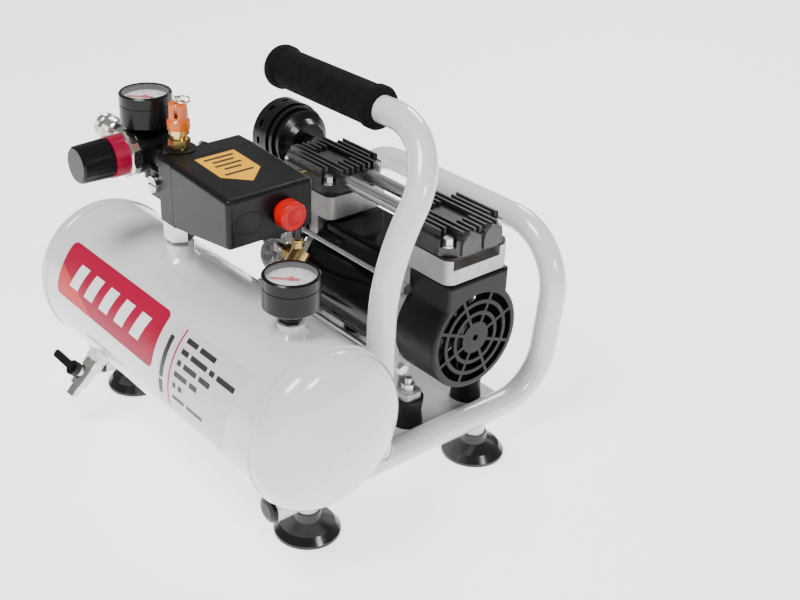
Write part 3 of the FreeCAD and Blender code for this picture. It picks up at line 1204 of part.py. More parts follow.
# ---- output --------------------------------------------------------------------
def parts():
    """Every node's name with its solid or list of solids."""
    return {
        "frame_tube": frame_tube(),
        "runner_plugs": runner_plugs(),
        "suction_feet": suction_feet(),
        "foot_screws": foot_screws(),
        "foot_bushes": foot_bushes(),
        "base_plate": base_plate(),
        "tank_shell": tank_shell(),
        "tank_ends": [tank_end(1), tank_end(-1)],
        "tank_bosses": tank_bosses(),
        "handle_tube": handle_tube(),
        "handle_grip": handle_grip(),
        "rubber_mounts": rubber_mounts(),
        "mount_fasteners": mount_fasteners(),
        "bearing_brackets": [bearing_bracket(1), bearing_bracket(-1)],
        "tie_rods": tie_rods(),
        "motor_stator": motor_stator(),
        "motor_skirt": motor_skirt(),
        "motor_shaft": motor_shaft(),
        "rotor_core": rotor_core(),
        "ball_bearings": ball_bearings(),
        "eccentrics": eccentrics(),
        "pistons": pistons(),
        "cooling_fans": cooling_fans(),
        "end_cover_right": end_cover(1),
        "end_cover_left": end_cover(-1),
        "cylinder_sleeves": cylinder_sleeves(),
        "valve_plates": valve_plates(),
        "cylinder_heads": [cylinder_head(1), cylinder_head(-1)],
        "head_bolts": head_bolts(),
        "tie_tubes": tie_tubes(),
        "filter_housing": filter_housing(),
        "filter_cap": filter_cap(),
        "filter_element": filter_element(),
        "switch_base": switch_base(),
        "switch_cover": switch_cover(),
        "switch_button": switch_button(),
        "pipe_fittings": pipe_fittings(),
        "regulator_body": regulator_body(),
        "regulator_nut": regulator_nut(),
        "regulator_ring": regulator_ring(),
        "regulator_knob": regulator_knob(),
        "gauge_cases": gauge_cases(),
        "gauge_dials": gauge_dials(),
        "gauge_lenses": gauge_lenses(),
        "line_gauge_needle": gauge_needle(gauge_places()[0]),
        "tank_gauge_needle": gauge_needle(gauge_places()[1]),
        "coupler_body": quick_coupler(),
        "coupler_sleeve": coupler_sleeve(),
        "safety_valve_body": safety_valve_body(),
        "safety_valve_cap": safety_valve_cap(),
        "safety_valve_pull": safety_valve_pull(),
        "brass_fittings": [check_valve(), outlet_elbow(), tube_nozzle()],
        "air_hoses": [cord(discharge_route(), HOSE_R, "discharge hose"),
                      cord(thin_tube_route(), AIR_TUBE_R, "thin tube")],
        "motor_lead": cord(motor_lead_route(), CABLE_R, "motor lead"),
        "capacitor": [capacitor_housing(), capacitor_clip()],
        "drain_valve_body": drain_valve_body(),
        "drain_lever": [drain_lever(), drain_ball()],
        "mains_lead": [cord(mains_route(), CABLE_R, "mains lead"),
                       cord(mains_tail_route(), CABLE_R, "mains tail")],
        "mains_coil": mains_coil(),
        "mains_plug": mains_plug(),
    }


CORD_NODES = ("mains_lead", "mains_coil", "mains_plug")


def gathered(shape):
    """A node's solids as one shape."""
    pieces = shape if isinstance(shape, list) else [shape]
    solids = [solid for piece in pieces for solid in piece.Solids]
    return Part.makeCompound(solids) if len(solids) > 1 else solids[0]


def origin_shift(nodes):
    """The move that brings the middle of the footprint, without the mains lead, to the origin."""
    box = FreeCAD.BoundBox()
    for name, shape in nodes.items():
        if name not in CORD_NODES:
            box.add(shape.optimalBoundingBox(True, False))
    return V(0, -box.Center.y, 0)


def main():
    """Build every node, move it to the part's origin and write its STEP file."""
    os.makedirs("parts", exist_ok=True)
    nodes = {name: gathered(shape) for name, shape in parts().items()}
    shift = origin_shift(nodes)
    print("origin moved by", round(shift.y, 4))
    for name, shape in nodes.items():
        shape.translate(shift)
        shape.exportStep(f"parts/{name}.step")


main()
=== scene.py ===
"""Twin-head airbrush compressor: finishes, cords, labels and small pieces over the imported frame."""
import json
import logging
import math
from dataclasses import dataclass, field
from enum import Enum
from typing import Any, Callable, Iterable, Sequence

import bmesh
import bpy
from mathutils import Matrix, Vector

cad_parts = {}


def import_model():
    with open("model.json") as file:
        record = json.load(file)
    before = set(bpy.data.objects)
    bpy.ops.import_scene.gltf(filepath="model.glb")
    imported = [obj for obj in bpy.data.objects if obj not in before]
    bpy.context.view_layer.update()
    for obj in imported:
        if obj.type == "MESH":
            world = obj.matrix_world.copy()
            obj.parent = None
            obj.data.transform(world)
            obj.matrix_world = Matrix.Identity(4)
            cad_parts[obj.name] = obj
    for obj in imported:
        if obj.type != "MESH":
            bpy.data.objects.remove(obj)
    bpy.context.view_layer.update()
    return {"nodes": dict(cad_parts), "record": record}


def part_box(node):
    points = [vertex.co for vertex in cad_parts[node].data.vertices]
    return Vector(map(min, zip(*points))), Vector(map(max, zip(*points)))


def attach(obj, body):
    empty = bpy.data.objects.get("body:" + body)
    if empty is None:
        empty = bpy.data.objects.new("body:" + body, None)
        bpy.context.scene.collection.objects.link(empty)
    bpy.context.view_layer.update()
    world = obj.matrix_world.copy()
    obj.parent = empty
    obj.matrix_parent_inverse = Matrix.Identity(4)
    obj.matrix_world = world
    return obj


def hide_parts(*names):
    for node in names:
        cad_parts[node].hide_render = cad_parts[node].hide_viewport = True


LOG = logging.getLogger("compressor")
MM = 0.001
TANK_Y = -80.0
FULL_TURN = 2 * math.pi
FILM_STEP, FILM_T, FILM_GAP = 0.12, 0.1, 0.02
Color = tuple[float, float, float]
Place = tuple[float, float, float]
Outline = list[tuple[float, float]]
Surface = Callable[[float, float, float], Vector]


# ---- node trees ----------------------------------------------------------------
@dataclass(frozen=True)
class Term:
    """A node tree's value that can be used in arithmetic."""

    owner: "NodeTree"
    socket: bpy.types.NodeSocket

    def math(self, operation: str, *terms: Any) -> "Term":
        """Add a Math node on these terms."""
        return self.owner.node("ShaderNodeMath", {"operation": operation}, dict(enumerate(terms)))

    def __add__(self, other: Any) -> "Term":
        """This value plus another."""
        return self.math("ADD", self, other)

    def __sub__(self, other: Any) -> "Term":
        """This value less another."""
        return self.math("SUBTRACT", self, other)

    def __mul__(self, other: Any) -> "Term":
        """This value times another."""
        return self.math("MULTIPLY", self, other)

    def __truediv__(self, other: Any) -> "Term":
        """This value over another."""
        return self.math("DIVIDE", self, other)

    def __rsub__(self, other: Any) -> "Term":
        """A number less this value."""
        return self.math("SUBTRACT", other, self)

    def __rtruediv__(self, other: Any) -> "Term":
        """A number over this value."""
        return self.math("DIVIDE", other, self)

    __radd__, __rmul__ = __add__, __mul__

    def part(self, name: str | int) -> "Term":
        """Another output of the node that gave this value."""
        return Term(self.owner, self.socket.node.outputs[name])

    def sine(self) -> "Term":
        """The sine of this value."""
        return self.math("SINE", self)

    def cosine(self) -> "Term":
        """The cosine of this value."""
        return self.math("COSINE", self)

    def between(self, low: float, high: float) -> "Term":
        """This value stretched from low..high to 0..1 with soft ends."""
        return self.owner.node("ShaderNodeMapRange", {"interpolation_type": "SMOOTHSTEP"},
                               {"Value": self, "From Min": low, "From Max": high})


class NodeTree:
    """A node tree whose nodes all come from one method."""

    def __init__(self, tree: bpy.types.NodeTree) -> None:
        """Take over a tree."""
        self.tree = tree

    def node(self, kind: str, settings: dict[str, Any] | None = None,
             sockets: dict[Any, Any] | None = None, out: Any = 0) -> Term:
        """Add one node.

        Args:
            kind: The node's type.
            settings: Its properties, set first.
            sockets: Values or terms for its inputs, by name or index.
            out: The output to return.

        Returns:
            The chosen output.
        """
        made = self.tree.nodes.new(kind)
        for key, value in (settings or {}).items():
            setattr(made, key, value)
        for key, value in (sockets or {}).items():
            if isinstance(value, Term):
                self.tree.links.new(value.socket, made.inputs[key])
            else:
                made.inputs[key].default_value = value
        return Term(self, made.outputs[out])


class Paint(NodeTree):
    """A material under construction."""

    def __init__(self, name: str) -> None:
        """Start a material with no nodes.

        Args:
            name: The material's name.
        """
        self.material = bpy.data.materials.new(name)
        self.material.use_nodes = True
        super().__init__(self.material.node_tree)
        self.tree.nodes.clear()

    def where(self) -> Term:
        """Object coordinates."""
        return self.node("ShaderNodeTexCoord", out="Object")

    def noise(self, scale: float, detail: float = 2.0) -> Term:
        """Cloudy noise with this many lumps in a metre."""
        return self.node("ShaderNodeTexNoise",
                         sockets={"Vector": self.where(), "Scale": scale, "Detail": detail})

    def cells(self, scale: float) -> Term:
        """Distance to the middle of the nearest cell, cells packed this many to a metre."""
        return self.node("ShaderNodeTexVoronoi", sockets={"Vector": self.where(), "Scale": scale})

    def mixed(self, factor: Any, first: Any, second: Any) -> Term:
        """A colour between two."""
        return self.node("ShaderNodeMix", {"data_type": "RGBA"}, {0: factor, 6: first, 7: second}, out=2)

    def bump(self, height: Any, distance: float, strength: float = 1.0) -> Term:
        """A normal bent by a height of up to distance metres."""
        return self.node("ShaderNodeBump",
                         sockets={"Strength": strength, "Distance": distance, "Height": height})

    def surface(self, base: Any, roughness: Any, metallic: float, normal: Any,
                fixed: dict[str, Any]) -> bpy.types.Material:
        """Close the material with one principled shader.

        Args:
            base: Colour or colour term.
            roughness: Value or term.
            metallic: 0 to 1.
            normal: A bump term, or None.
            fixed: Other sockets with their constant values.

        Returns:
            The finished material.
        """
        sockets = {"Base Color": base, "Roughness": roughness, "Metallic": metallic, **fixed}
        if normal is not None:
            sockets["Normal"] = normal
        shader = self.node("ShaderNodeBsdfPrincipled", sockets=sockets)
        output = self.tree.nodes.new("ShaderNodeOutputMaterial")
        self.tree.links.new(shader.socket, output.inputs["Surface"])
        return self.material


# ---- finishes --------------------------------------------------------------------
class Grain(Enum):
    """The small relief of a finish."""

    SMOOTH = "smooth"
    ORANGE_PEEL = "orange peel"
    TEXTURED = "textured moulding"
    PORES = "foam pores"
    CAST = "as cast"
    TURNED = "turned"
    STACKED = "stacked sheets"


@dataclass(frozen=True)
class Finish:
    """A finish with patchy colour, uneven gloss and a small relief."""

    name: str
    color: Color
    roughness: float
    metallic: float = 0.0
    grain: Grain = Grain.SMOOTH
    shade: float = 0.82
    patches: float = 30.0
    uneven: float = 0.08
    fixed: tuple[tuple[str, Any], ...] = ()

    def relief(self, paint: Paint) -> Term | None:
        """The bump that belongs to the grain.

        Args:
            paint: The material under construction.

        Returns:
            The bump, or None on a smooth finish.
        """
        if self.grain is Grain.SMOOTH:
            return None
        if self.grain is Grain.ORANGE_PEEL:
            return paint.bump(paint.noise(260.0, 1.0), 0.00012, 0.35)
        if self.grain is Grain.TEXTURED:
            return paint.bump(paint.noise(2400.0, 3.0), 0.0002, 0.5)
        if self.grain is Grain.PORES:
            return paint.bump(paint.cells(1500.0) + 0.4 * paint.noise(500.0, 3.0), 0.0007, 0.9)
        if self.grain is Grain.CAST:
            return paint.bump(paint.noise(900.0, 4.0) + 0.5 * paint.cells(700.0), 0.00035, 0.55)
        if self.grain is Grain.TURNED:
            return paint.bump(paint.noise(1500.0, 2.0), 0.00004, 0.18)
        along = paint.node("ShaderNodeSeparateXYZ", sockets={0: paint.where()}, out=0)
        return paint.bump((along * 7000.0).sine(), 0.0002, 0.8)

    def tint(self, paint: Paint) -> Term:
        """Mix the patchy base colour.

        Args:
            paint: The material under construction.

        Returns:
            The colour.
        """
        dark = tuple(channel * self.shade for channel in self.color) + (1.0,)
        spread = paint.noise(self.patches, 3.0).between(0.35, 0.7)
        return paint.mixed(spread, self.color + (1.0,), dark)

    def gloss(self, paint: Paint) -> Term:
        """The uneven roughness."""
        swing = paint.noise(self.patches * 4.0, 3.0) - 0.5
        return swing * (2.0 * self.uneven) + self.roughness

    def make(self) -> bpy.types.Material:
        """Build the material."""
        paint = Paint(self.name)
        return paint.surface(self.tint(paint), self.gloss(paint), self.metallic, self.relief(paint),
                             dict(self.fixed))


@dataclass(frozen=True)
class WornPlating(Finish):
    """Plated or bare metal whose high spots are brighter and whose hollows are dull."""

    dull: Color = (0.3, 0.29, 0.27)

    def tint(self, paint: Paint) -> Term:
        """Metal colour with dull specks and a slow drift."""
        specks = paint.noise(self.patches * 12.0, 4.0).between(0.58, 0.86)
        return paint.mixed(specks, super().tint(paint), self.dull + (1.0,))


@dataclass(frozen=True)
class CastMetal(Finish):
    """Cast metal with darker pits and a drift of oxide."""

    pit: Color = (0.12, 0.12, 0.12)

    def tint(self, paint: Paint) -> Term:
        """Mottled casting skin."""
        pits = paint.noise(700.0, 5.0).between(0.52, 0.78)
        return paint.mixed(pits, super().tint(paint), self.pit + (1.0,))


COAT = (("Coat Weight", 0.85), ("Coat Roughness", 0.04))
DEEP = (("Specular IOR Level", 0.22),)
PALETTE: dict[str, Finish] = {
    "white_paint": Finish("white_enamel", (0.74, 0.72, 0.742), 0.22, grain=Grain.ORANGE_PEEL, shade=0.97,
        uneven=0.05, fixed=COAT),
    "tank_paint": Finish("tank_enamel", (0.745, 0.725, 0.747), 0.2, grain=Grain.ORANGE_PEEL, shade=0.975,
        patches=12.0, uneven=0.04, fixed=COAT),
    "grip_foam": Finish("grip_foam", (0.006, 0.006, 0.007), 0.86, grain=Grain.PORES, shade=0.5,
        patches=120.0, fixed=(("Specular IOR Level", 0.12),)),
    "black_rubber": Finish("black_rubber", (0.009, 0.009, 0.01), 0.42, grain=Grain.TEXTURED, shade=0.7,
        patches=60.0, fixed=DEEP),
    "foot_rubber": Finish("foot_rubber", (0.006, 0.006, 0.007), 0.2, shade=0.8, patches=60.0, uneven=0.06),
    "black_plastic": Finish("moulded_black", (0.006, 0.006, 0.007), 0.42, grain=Grain.TEXTURED, shade=0.75,
        fixed=DEEP),
    "gloss_black": Finish("gloss_black", (0.006, 0.006, 0.007), 0.2, shade=0.7, patches=50.0, uneven=0.07,
        fixed=DEEP),
    "skirt_black": Finish("skirt_black", (0.003, 0.003, 0.004), 0.12, shade=0.7, uneven=0.04, fixed=DEEP),
    "switch_black": Finish("switch_black", (0.005, 0.005, 0.006), 0.3, grain=Grain.TEXTURED, shade=0.8,
        uneven=0.06, fixed=DEEP),
    "cast_aluminium": CastMetal("cast_aluminium", (0.47, 0.455, 0.445), 0.46, metallic=0.7,
        grain=Grain.CAST, shade=0.85, pit=(0.3, 0.29, 0.28)),
    "dark_casting": CastMetal("dark_casting", (0.07, 0.067, 0.066), 0.42, metallic=0.6, grain=Grain.CAST,
        shade=0.7, patches=60.0, pit=(0.03, 0.03, 0.03)),
    "tube_aluminium": Finish("drawn_aluminium", (0.66, 0.66, 0.67), 0.3, metallic=1.0, shade=0.88,
        patches=40.0, uneven=0.05),
    "zinc_steel": WornPlating("zinc_plate", (0.66, 0.665, 0.68), 0.3, metallic=1.0, shade=0.85,
        patches=60.0, uneven=0.06, dull=(0.5, 0.5, 0.5)),
    "nickel": WornPlating("nickel_plate", (0.68, 0.65, 0.61), 0.2, metallic=1.0, shade=0.85, patches=90.0,
        uneven=0.05, dull=(0.48, 0.46, 0.43)),
    "brass": WornPlating("brass", (0.74, 0.52, 0.2), 0.24, metallic=1.0, grain=Grain.TURNED, shade=0.75,
        patches=110.0, dull=(0.32, 0.2, 0.08)),
    "sleeve_bronze": Finish("anodised_sleeve", (0.26, 0.12, 0.07), 0.34, metallic=0.85, grain=Grain.TURNED,
        shade=0.7),
    "lamination": Finish("laminations", (0.2, 0.2, 0.21), 0.4, metallic=0.9, grain=Grain.STACKED),
    "red_plastic": Finish("button_red", (0.55, 0.0, 0.002), 0.24, shade=0.85, patches=80.0, fixed=DEEP),
    "dark_red": Finish("ring_crimson", (0.3, 0.0, 0.03), 0.3, shade=0.8, patches=80.0),
    "amber_clear": Finish("amber_plastic", (0.9, 0.17, 0.0), 0.16, shade=0.85, patches=90.0,
        fixed=(("Transmission Weight", 0.35), ("IOR", 1.49))),
    "dial_white": Finish("dial_card", (0.66, 0.66, 0.68), 0.5, shade=0.95, patches=60.0),
    "needle_red": Finish("needle_red", (0.6, 0.0, 0.0), 0.4),
    "felt": Finish("filter_felt", (0.72, 0.69, 0.62), 0.95, grain=Grain.PORES),
    "cable_black": Finish("cable_sheath", (0.012, 0.012, 0.013), 0.36, shade=0.7, patches=90.0, uneven=0.1),
    "hose_mix": Finish("hose_core", (0.05, 0.05, 0.052), 0.5, shade=0.6, patches=90.0),
    "braid_wire": WornPlating("braid_wire", (0.62, 0.6, 0.57), 0.28, metallic=1.0, shade=0.7,
        patches=300.0),
    "label_crimson": Finish("label_crimson", (0.36, 0.0, 0.035), 0.34, shade=0.93, fixed=DEEP),
    "label_red": Finish("label_red", (0.6, 0.03, 0.03), 0.34, shade=0.93, fixed=DEEP),
    "label_white": Finish("label_white", (0.88, 0.87, 0.88), 0.34, shade=0.97),
    "label_clear": Finish("label_film", (0.66, 0.64, 0.65), 0.3, shade=0.97),
    "label_ink": Finish("label_ink", (0.02, 0.018, 0.02), 0.4),
    "label_yellow": Finish("label_yellow", (0.86, 0.4, 0.0), 0.42, shade=0.92, patches=90.0, fixed=DEEP),
}


@dataclass
class Finishes:
    """Makes each material once."""

    made: dict[str, bpy.types.Material] = field(default_factory=dict)

    def get(self, name: str) -> bpy.types.Material:
        """The material of that name."""
        if name not in self.made:
            self.made[name] = lens_glass() if name == "lens_clear" else PALETTE[name].make()
        return self.made[name]


def lens_glass() -> bpy.types.Material:
    """Clear gauge lens: mostly see-through, with a light haze."""
    paint = Paint("lens_glass")
    alpha = paint.noise(60.0).between(0.2, 0.9) * 0.03 + 0.06
    return paint.surface((0.9, 0.92, 0.95, 1.0), 0.05, 0.0, None, {"Alpha": alpha, "IOR": 1.5})


# ---- placing pieces ----------------------------------------------------------------
@dataclass(frozen=True)
class Layout:
    """Turns millimetres, with the tank's axis 80 before the middle line, into the frame's metres."""

    shift: float

    def at(self, x: float, y: float, z: float) -> Vector:
        """A point in the frame."""
        return Vector((x * MM, y * MM + self.shift, z * MM))

    def route(self, points: Iterable[Sequence[float]]) -> list[Vector]:
        """A list of points in the frame."""
        return [self.at(*point) for point in points]


@dataclass(frozen=True)
class Barrel:
    """The skin of a cylinder along X, mapped by length and by arc above its front or rear line."""

    layout: Layout
    axis: Place
    radius: float
    side: float

    def __call__(self, x: float, arc: float, lift: float) -> Vector:
        """The point that far along, up the arc and off the skin."""
        angle, reach = arc / self.radius, self.radius + lift
        return self.layout.at(self.axis[0] + x, self.axis[1] + self.side * reach * math.cos(angle),
                              self.axis[2] + reach * math.sin(angle))


@dataclass(frozen=True)
class Plate:
    """A flat face, level or sloping along X."""

    layout: Layout
    middle: Place
    slope: float = 0.0
    level_x: float = 0.0

    def __call__(self, x: float, y: float, lift: float) -> Vector:
        """The point at that place on the face and off it."""
        height = self.middle[2] + self.slope * (x - self.level_x) + lift
        return self.layout.at(self.middle[0] + x, self.middle[1] + y, height)


def link(name: str, data: bpy.types.ID) -> bpy.types.Object:
    """Put data into the scene.

    Args:
        name: The object's name.
        data: Its mesh, curve, light or camera.

    Returns:
        The object.
    """
    made = bpy.data.objects.new(name, data)
    bpy.context.scene.collection.objects.link(made)
    return made


def open_line(name: str, kind: str, points: Sequence[Vector]) -> bpy.types.Curve:
    """Make a curve of one open spline.

    Args:
        name: The curve's name.
        kind: The spline's type.
        points: Its control points.

    Returns:
        The curve.
    """
    curve = bpy.data.curves.new(name, "CURVE")
    curve.dimensions = "3D"
    spline = curve.splines.new(kind)
    spline.points.add(len(points) - 1)
    for control, point in zip(spline.points, points):
        control.co = (*point, 1.0)
    return curve


@dataclass
class Workshop:
    """What every sub-assembly needs: the frame's nodes, the layout and the finishes."""

    nodes: dict[str, bpy.types.Object]
    layout: Layout
    finishes: Finishes
    pieces: list[str] = field(default_factory=list)

    def piece(self, name: str, mesh: bpy.types.Mesh, finish: str, body: str = "root",
              slot: str | None = None, sharp: float = 35.0) -> bpy.types.Object:
        """Link a mesh as a piece.

        Args:
            name: The piece's name.
            mesh: Its mesh, in the frame's metres.
            finish: Name in the palette.
            body: The body it rides on.
            slot: The record's slot, where it isn't the finish's own name.
            sharp: Angle in degrees over which an edge stays sharp.

        Returns:
            The linked object.
        """
        mesh.materials.clear()
        mesh.materials.append(self.finishes.get(finish))
        mesh.polygons.foreach_set("use_smooth", [True] * len(mesh.polygons))
        mesh.set_sharp_from_angle(angle=math.radians(sharp))
        return self.settle(link(name, mesh), body, slot or finish)

    def settle(self, made: bpy.types.Object, body: str, slot: str) -> bpy.types.Object:
        """Let a linked object ride on its body, and report it.

        Args:
            made: The object.
            body: The body it rides on.
            slot: The record's slot for its finish.

        Returns:
            The same object.
        """
        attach(made, body)
        self.pieces.append(made.name)
        LOG.info("piece %s on %s, finish slot %s", made.name, body, slot)
        return made

    def cord(self, name: str, points: list[Vector], radius: float, finish: str,
             slot: str) -> bpy.types.Object:
        """Lay a round cord as one smooth open spline through its route.

        Args:
            name: The piece's name.
            points: The route's points.
            radius: Half its thickness, in metres.
            finish: Name in the palette.
            slot: The record's slot.

        Returns:
            The linked cord.
        """
        curve = open_line(name, "NURBS", points)
        spline = curve.splines[0]
        spline.order_u = 3
        spline.use_endpoint_u = True
        curve.resolution_u = 8
        curve.bevel_depth = radius
        curve.bevel_resolution = 3
        curve.use_fill_caps = True
        curve.materials.append(self.finishes.get(finish))
        return self.settle(link(name, curve), "root", slot)


def lathe(name: str, profile: Sequence[tuple[float, float]], start: Vector, axis: Vector,
          steps: int = 40) -> bpy.types.Mesh:
    """Turn a closed profile round an axis.

    Args:
        name: The mesh's name.
        profile: Distance along the axis and radius, in metres, as a closed outline.
        start: Where the axis starts.
        axis: Its direction.
        steps: Number of facets.

    Returns:
        The mesh, normals outwards.
    """
    shape = bmesh.new()
    turn = axis.normalized().to_track_quat("Z", "Y").to_matrix()
    rings = []
    for index in range(steps):
        angle = FULL_TURN * index / steps
        side = Vector((math.cos(angle), math.sin(angle), 0))
        rings.append([shape.verts.new(start + turn @ (side * radius + Vector((0, 0, along))))
                      for along, radius in profile])
    bridge(shape, rings)
    return closed_mesh(name, shape)


def bridge(shape: bmesh.types.BMesh, rings: list[list[bmesh.types.BMVert]]) -> None:
    """Join a loop of rings with four-sided faces.

    Args:
        shape: The mesh under construction.
        rings: Rings of equally many corners; the last one meets the first.
    """
    for ring, following in zip(rings, rings[1:] + rings[:1]):
        for one in range(len(ring)):
            two = (one + 1) % len(ring)
            shape.faces.new((ring[one], ring[two], following[two], following[one]))


def closed_mesh(name: str, shape: bmesh.types.BMesh) -> bpy.types.Mesh:
    """Merge doubles and turn the faces outwards.

    Args:
        name: The mesh's name.
        shape: The mesh under construction, used up here.

    Returns:
        The mesh.
    """
    bmesh.ops.remove_doubles(shape, verts=shape.verts, dist=1e-7)
    bmesh.ops.dissolve_degenerate(shape, dist=1e-8, edges=shape.edges)
    bmesh.ops.recalc_face_normals(shape, faces=shape.faces)
    mesh = bpy.data.meshes.new(name)
    shape.to_mesh(mesh)
    shape.free()
    return mesh


# ---- geometry node recipes ---------------------------------------------------------
class Recipe(NodeTree):
    """A geometry node tree with named inputs, used to build repeated detail."""

    def __init__(self, name: str, inputs: dict[str, float]) -> None:
        """Start a tree.

        Args:
            name: The tree's name.
            inputs: Its inputs with their default values.
        """
        tree = bpy.data.node_groups.new(name, "GeometryNodeTree")
        super().__init__(tree)
        tree.interface.new_socket("Geometry", in_out="INPUT", socket_type="NodeSocketGeometry")
        for label, value in inputs.items():
            kind = "NodeSocketInt" if isinstance(value, int) else "NodeSocketFloat"
            tree.interface.new_socket(label, in_out="INPUT", socket_type=kind).default_value = value
        tree.interface.new_socket("Geometry", in_out="OUTPUT", socket_type="NodeSocketGeometry")
        self.entry = tree.nodes.new("NodeGroupInput")

    def given(self, label: str) -> Term:
        """One of the recipe's inputs."""
        return Term(self, self.entry.outputs[label])

    def vector(self, x: Any, y: Any, z: Any) -> Term:
        """A vector out of three values."""
        return self.node("ShaderNodeCombineXYZ", sockets={0: x, 1: y, 2: z})

    def scaled(self, vector: Term, by: Any) -> Term:
        """A vector times a value."""
        return self.node("ShaderNodeVectorMath", {"operation": "SCALE"}, {0: vector, "Scale": by})

    def total(self, first: Term, second: Term) -> Term:
        """The sum of two vectors."""
        return self.node("ShaderNodeVectorMath", {"operation": "ADD"}, {0: first, 1: second})

    def scatter(self, count: Any, spot: Term, shape: Term, **settings: Term) -> Term:
        """Put copies of a shape at worked-out places.

        Args:
            count: Number of copies.
            spot: The place of each copy.
            shape: What is copied.
            settings: The copies' Rotation and Scale.

        Returns:
            The copies.
        """
        line = self.node("GeometryNodeMeshLine", sockets={"Count": count})
        placed = self.node("GeometryNodeSetPosition", sockets={"Geometry": line, "Position": spot})
        return self.node("GeometryNodeInstanceOnPoints",
                         sockets={"Points": placed, "Instance": shape, **settings})

    def finish(self, geometry: Term, material: bpy.types.Material) -> None:
        """End the tree in real geometry with its material.

        Args:
            geometry: What the tree has made.
            material: Its material.
        """
        real = self.node("GeometryNodeRealizeInstances", sockets={0: geometry})
        dressed = self.node("GeometryNodeSetMaterial", sockets={"Geometry": real, "Material": material})
        output = self.tree.nodes.new("NodeGroupOutput")
        self.tree.links.new(dressed.socket, output.inputs[0])

    def grow(self, name: str, source: bpy.types.ID, values: dict[str, float]) -> bpy.types.Mesh:
        """Run the recipe on a mesh or curve.

        Args:
            name: The new mesh's name.
            source: Mesh or curve data that the recipe starts from.
            values: Values for its named inputs.

        Returns:
            The result as a plain mesh.
        """
        holder = link(name + "_source", source)
        modifier = holder.modifiers.new("recipe", "NODES")
        modifier.node_group = self.tree
        for item in self.tree.interface.items_tree:
            if item.in_out == "INPUT" and item.name in values:
                modifier[item.identifier] = values[item.name]
        depsgraph = bpy.context.evaluated_depsgraph_get()
        mesh = bpy.data.meshes.new_from_object(holder.evaluated_get(depsgraph),
                                               preserve_all_data_layers=True, depsgraph=depsgraph)
        bpy.data.objects.remove(holder)
        mesh.name = name
        return mesh


def outward(mesh: bpy.types.Mesh) -> bpy.types.Mesh:
    """Turn a grown mesh's faces outwards.

    Args:
        mesh: The mesh.

    Returns:
        The same mesh.
    """
    shape = bmesh.new()
    shape.from_mesh(mesh)
    bmesh.ops.recalc_face_normals(shape, faces=shape.faces)
    shape.to_mesh(mesh)
    shape.free()
    return mesh


# ---- stickers -----------------------------------------------------------------------
def rounded(low_x: float, low_y: float, high_x: float, high_y: float, radius: float) -> Outline:
    """Draw a rectangle with rounded corners, in millimetres.

    Args:
        low_x: Left side.
        low_y: Lower side.
        high_x: Right side.
        high_y: Upper side.
        radius: The corners' radius.

    Returns:
        The outline.
    """
    corners = ((high_x - radius, high_y - radius, 0), (low_x + radius, high_y - radius, 90),
               (low_x + radius, low_y + radius, 180), (high_x - radius, low_y + radius, 270))
    outline = []
    for x, y, first in corners:
        for step in range(7):
            angle = math.radians(first + 15 * step)
            outline.append((x + radius * math.cos(angle), y + radius * math.sin(angle)))
    return outline


def disc(x: float, y: float, radius: float, steps: int = 40) -> Outline:
    """A circle's outline, in millimetres."""
    return [(x + radius * math.cos(FULL_TURN * i / steps), y + radius * math.sin(FULL_TURN * i / steps))
            for i in range(steps)]


@dataclass
class Sticker:
    """Thin printed film laid on a surface; later layers lie on earlier ones."""

    name: str
    finish: str
    slot: str
    outlines: list[Outline]
    surface: Surface
    layer: int = 1
    strips: float = 4.0

    def build(self, shop: Workshop, body: str = "root") -> bpy.types.Object:
        """Cut the outlines out of film and lay them on the surface.

        Args:
            shop: The workshop.
            body: The body the film rides on.

        Returns:
            The linked film.
        """
        shape = bmesh.new()
        for outline in self.outlines:
            shape.faces.new([shape.verts.new((x, y, 0)) for x, y in outline])
        low, high = min(v.co.y for v in shape.verts), max(v.co.y for v in shape.verts)
        for index in range(1, int((high - low) / self.strips) + 1):
            bmesh.ops.bisect_plane(shape, geom=shape.verts[:] + shape.edges[:] + shape.faces[:],
                                   plane_co=(0, low + index * self.strips, 0), plane_no=(0, 1, 0))
        bmesh.ops.triangulate(shape, faces=[face for face in shape.faces if len(face.verts) > 4])
        bottom = (self.layer - 1) * FILM_STEP + FILM_GAP
        under = bmesh.ops.duplicate(shape, geom=shape.verts[:] + shape.edges[:] + shape.faces[:])
        lower = {item for item in under["geom"] if isinstance(item, bmesh.types.BMVert)}
        rims = [edge for edge in shape.edges if edge.is_boundary and edge.verts[0] not in lower]
        twin = {source: copy for source, copy in under["vert_map"].items()
                if isinstance(source, bmesh.types.BMVert) and copy in lower}
        for edge in rims:
            first, second = edge.verts
            if first in twin and second in twin:
                shape.faces.new((first, second, twin[second], twin[first]))
        for vert in shape.verts:
            lift = bottom if vert in lower else bottom + FILM_T
            vert.co = self.surface(vert.co.x, vert.co.y, lift)
        return shop.piece(self.name, closed_mesh(self.name, shape), self.finish, body, self.slot, sharp=60.0)


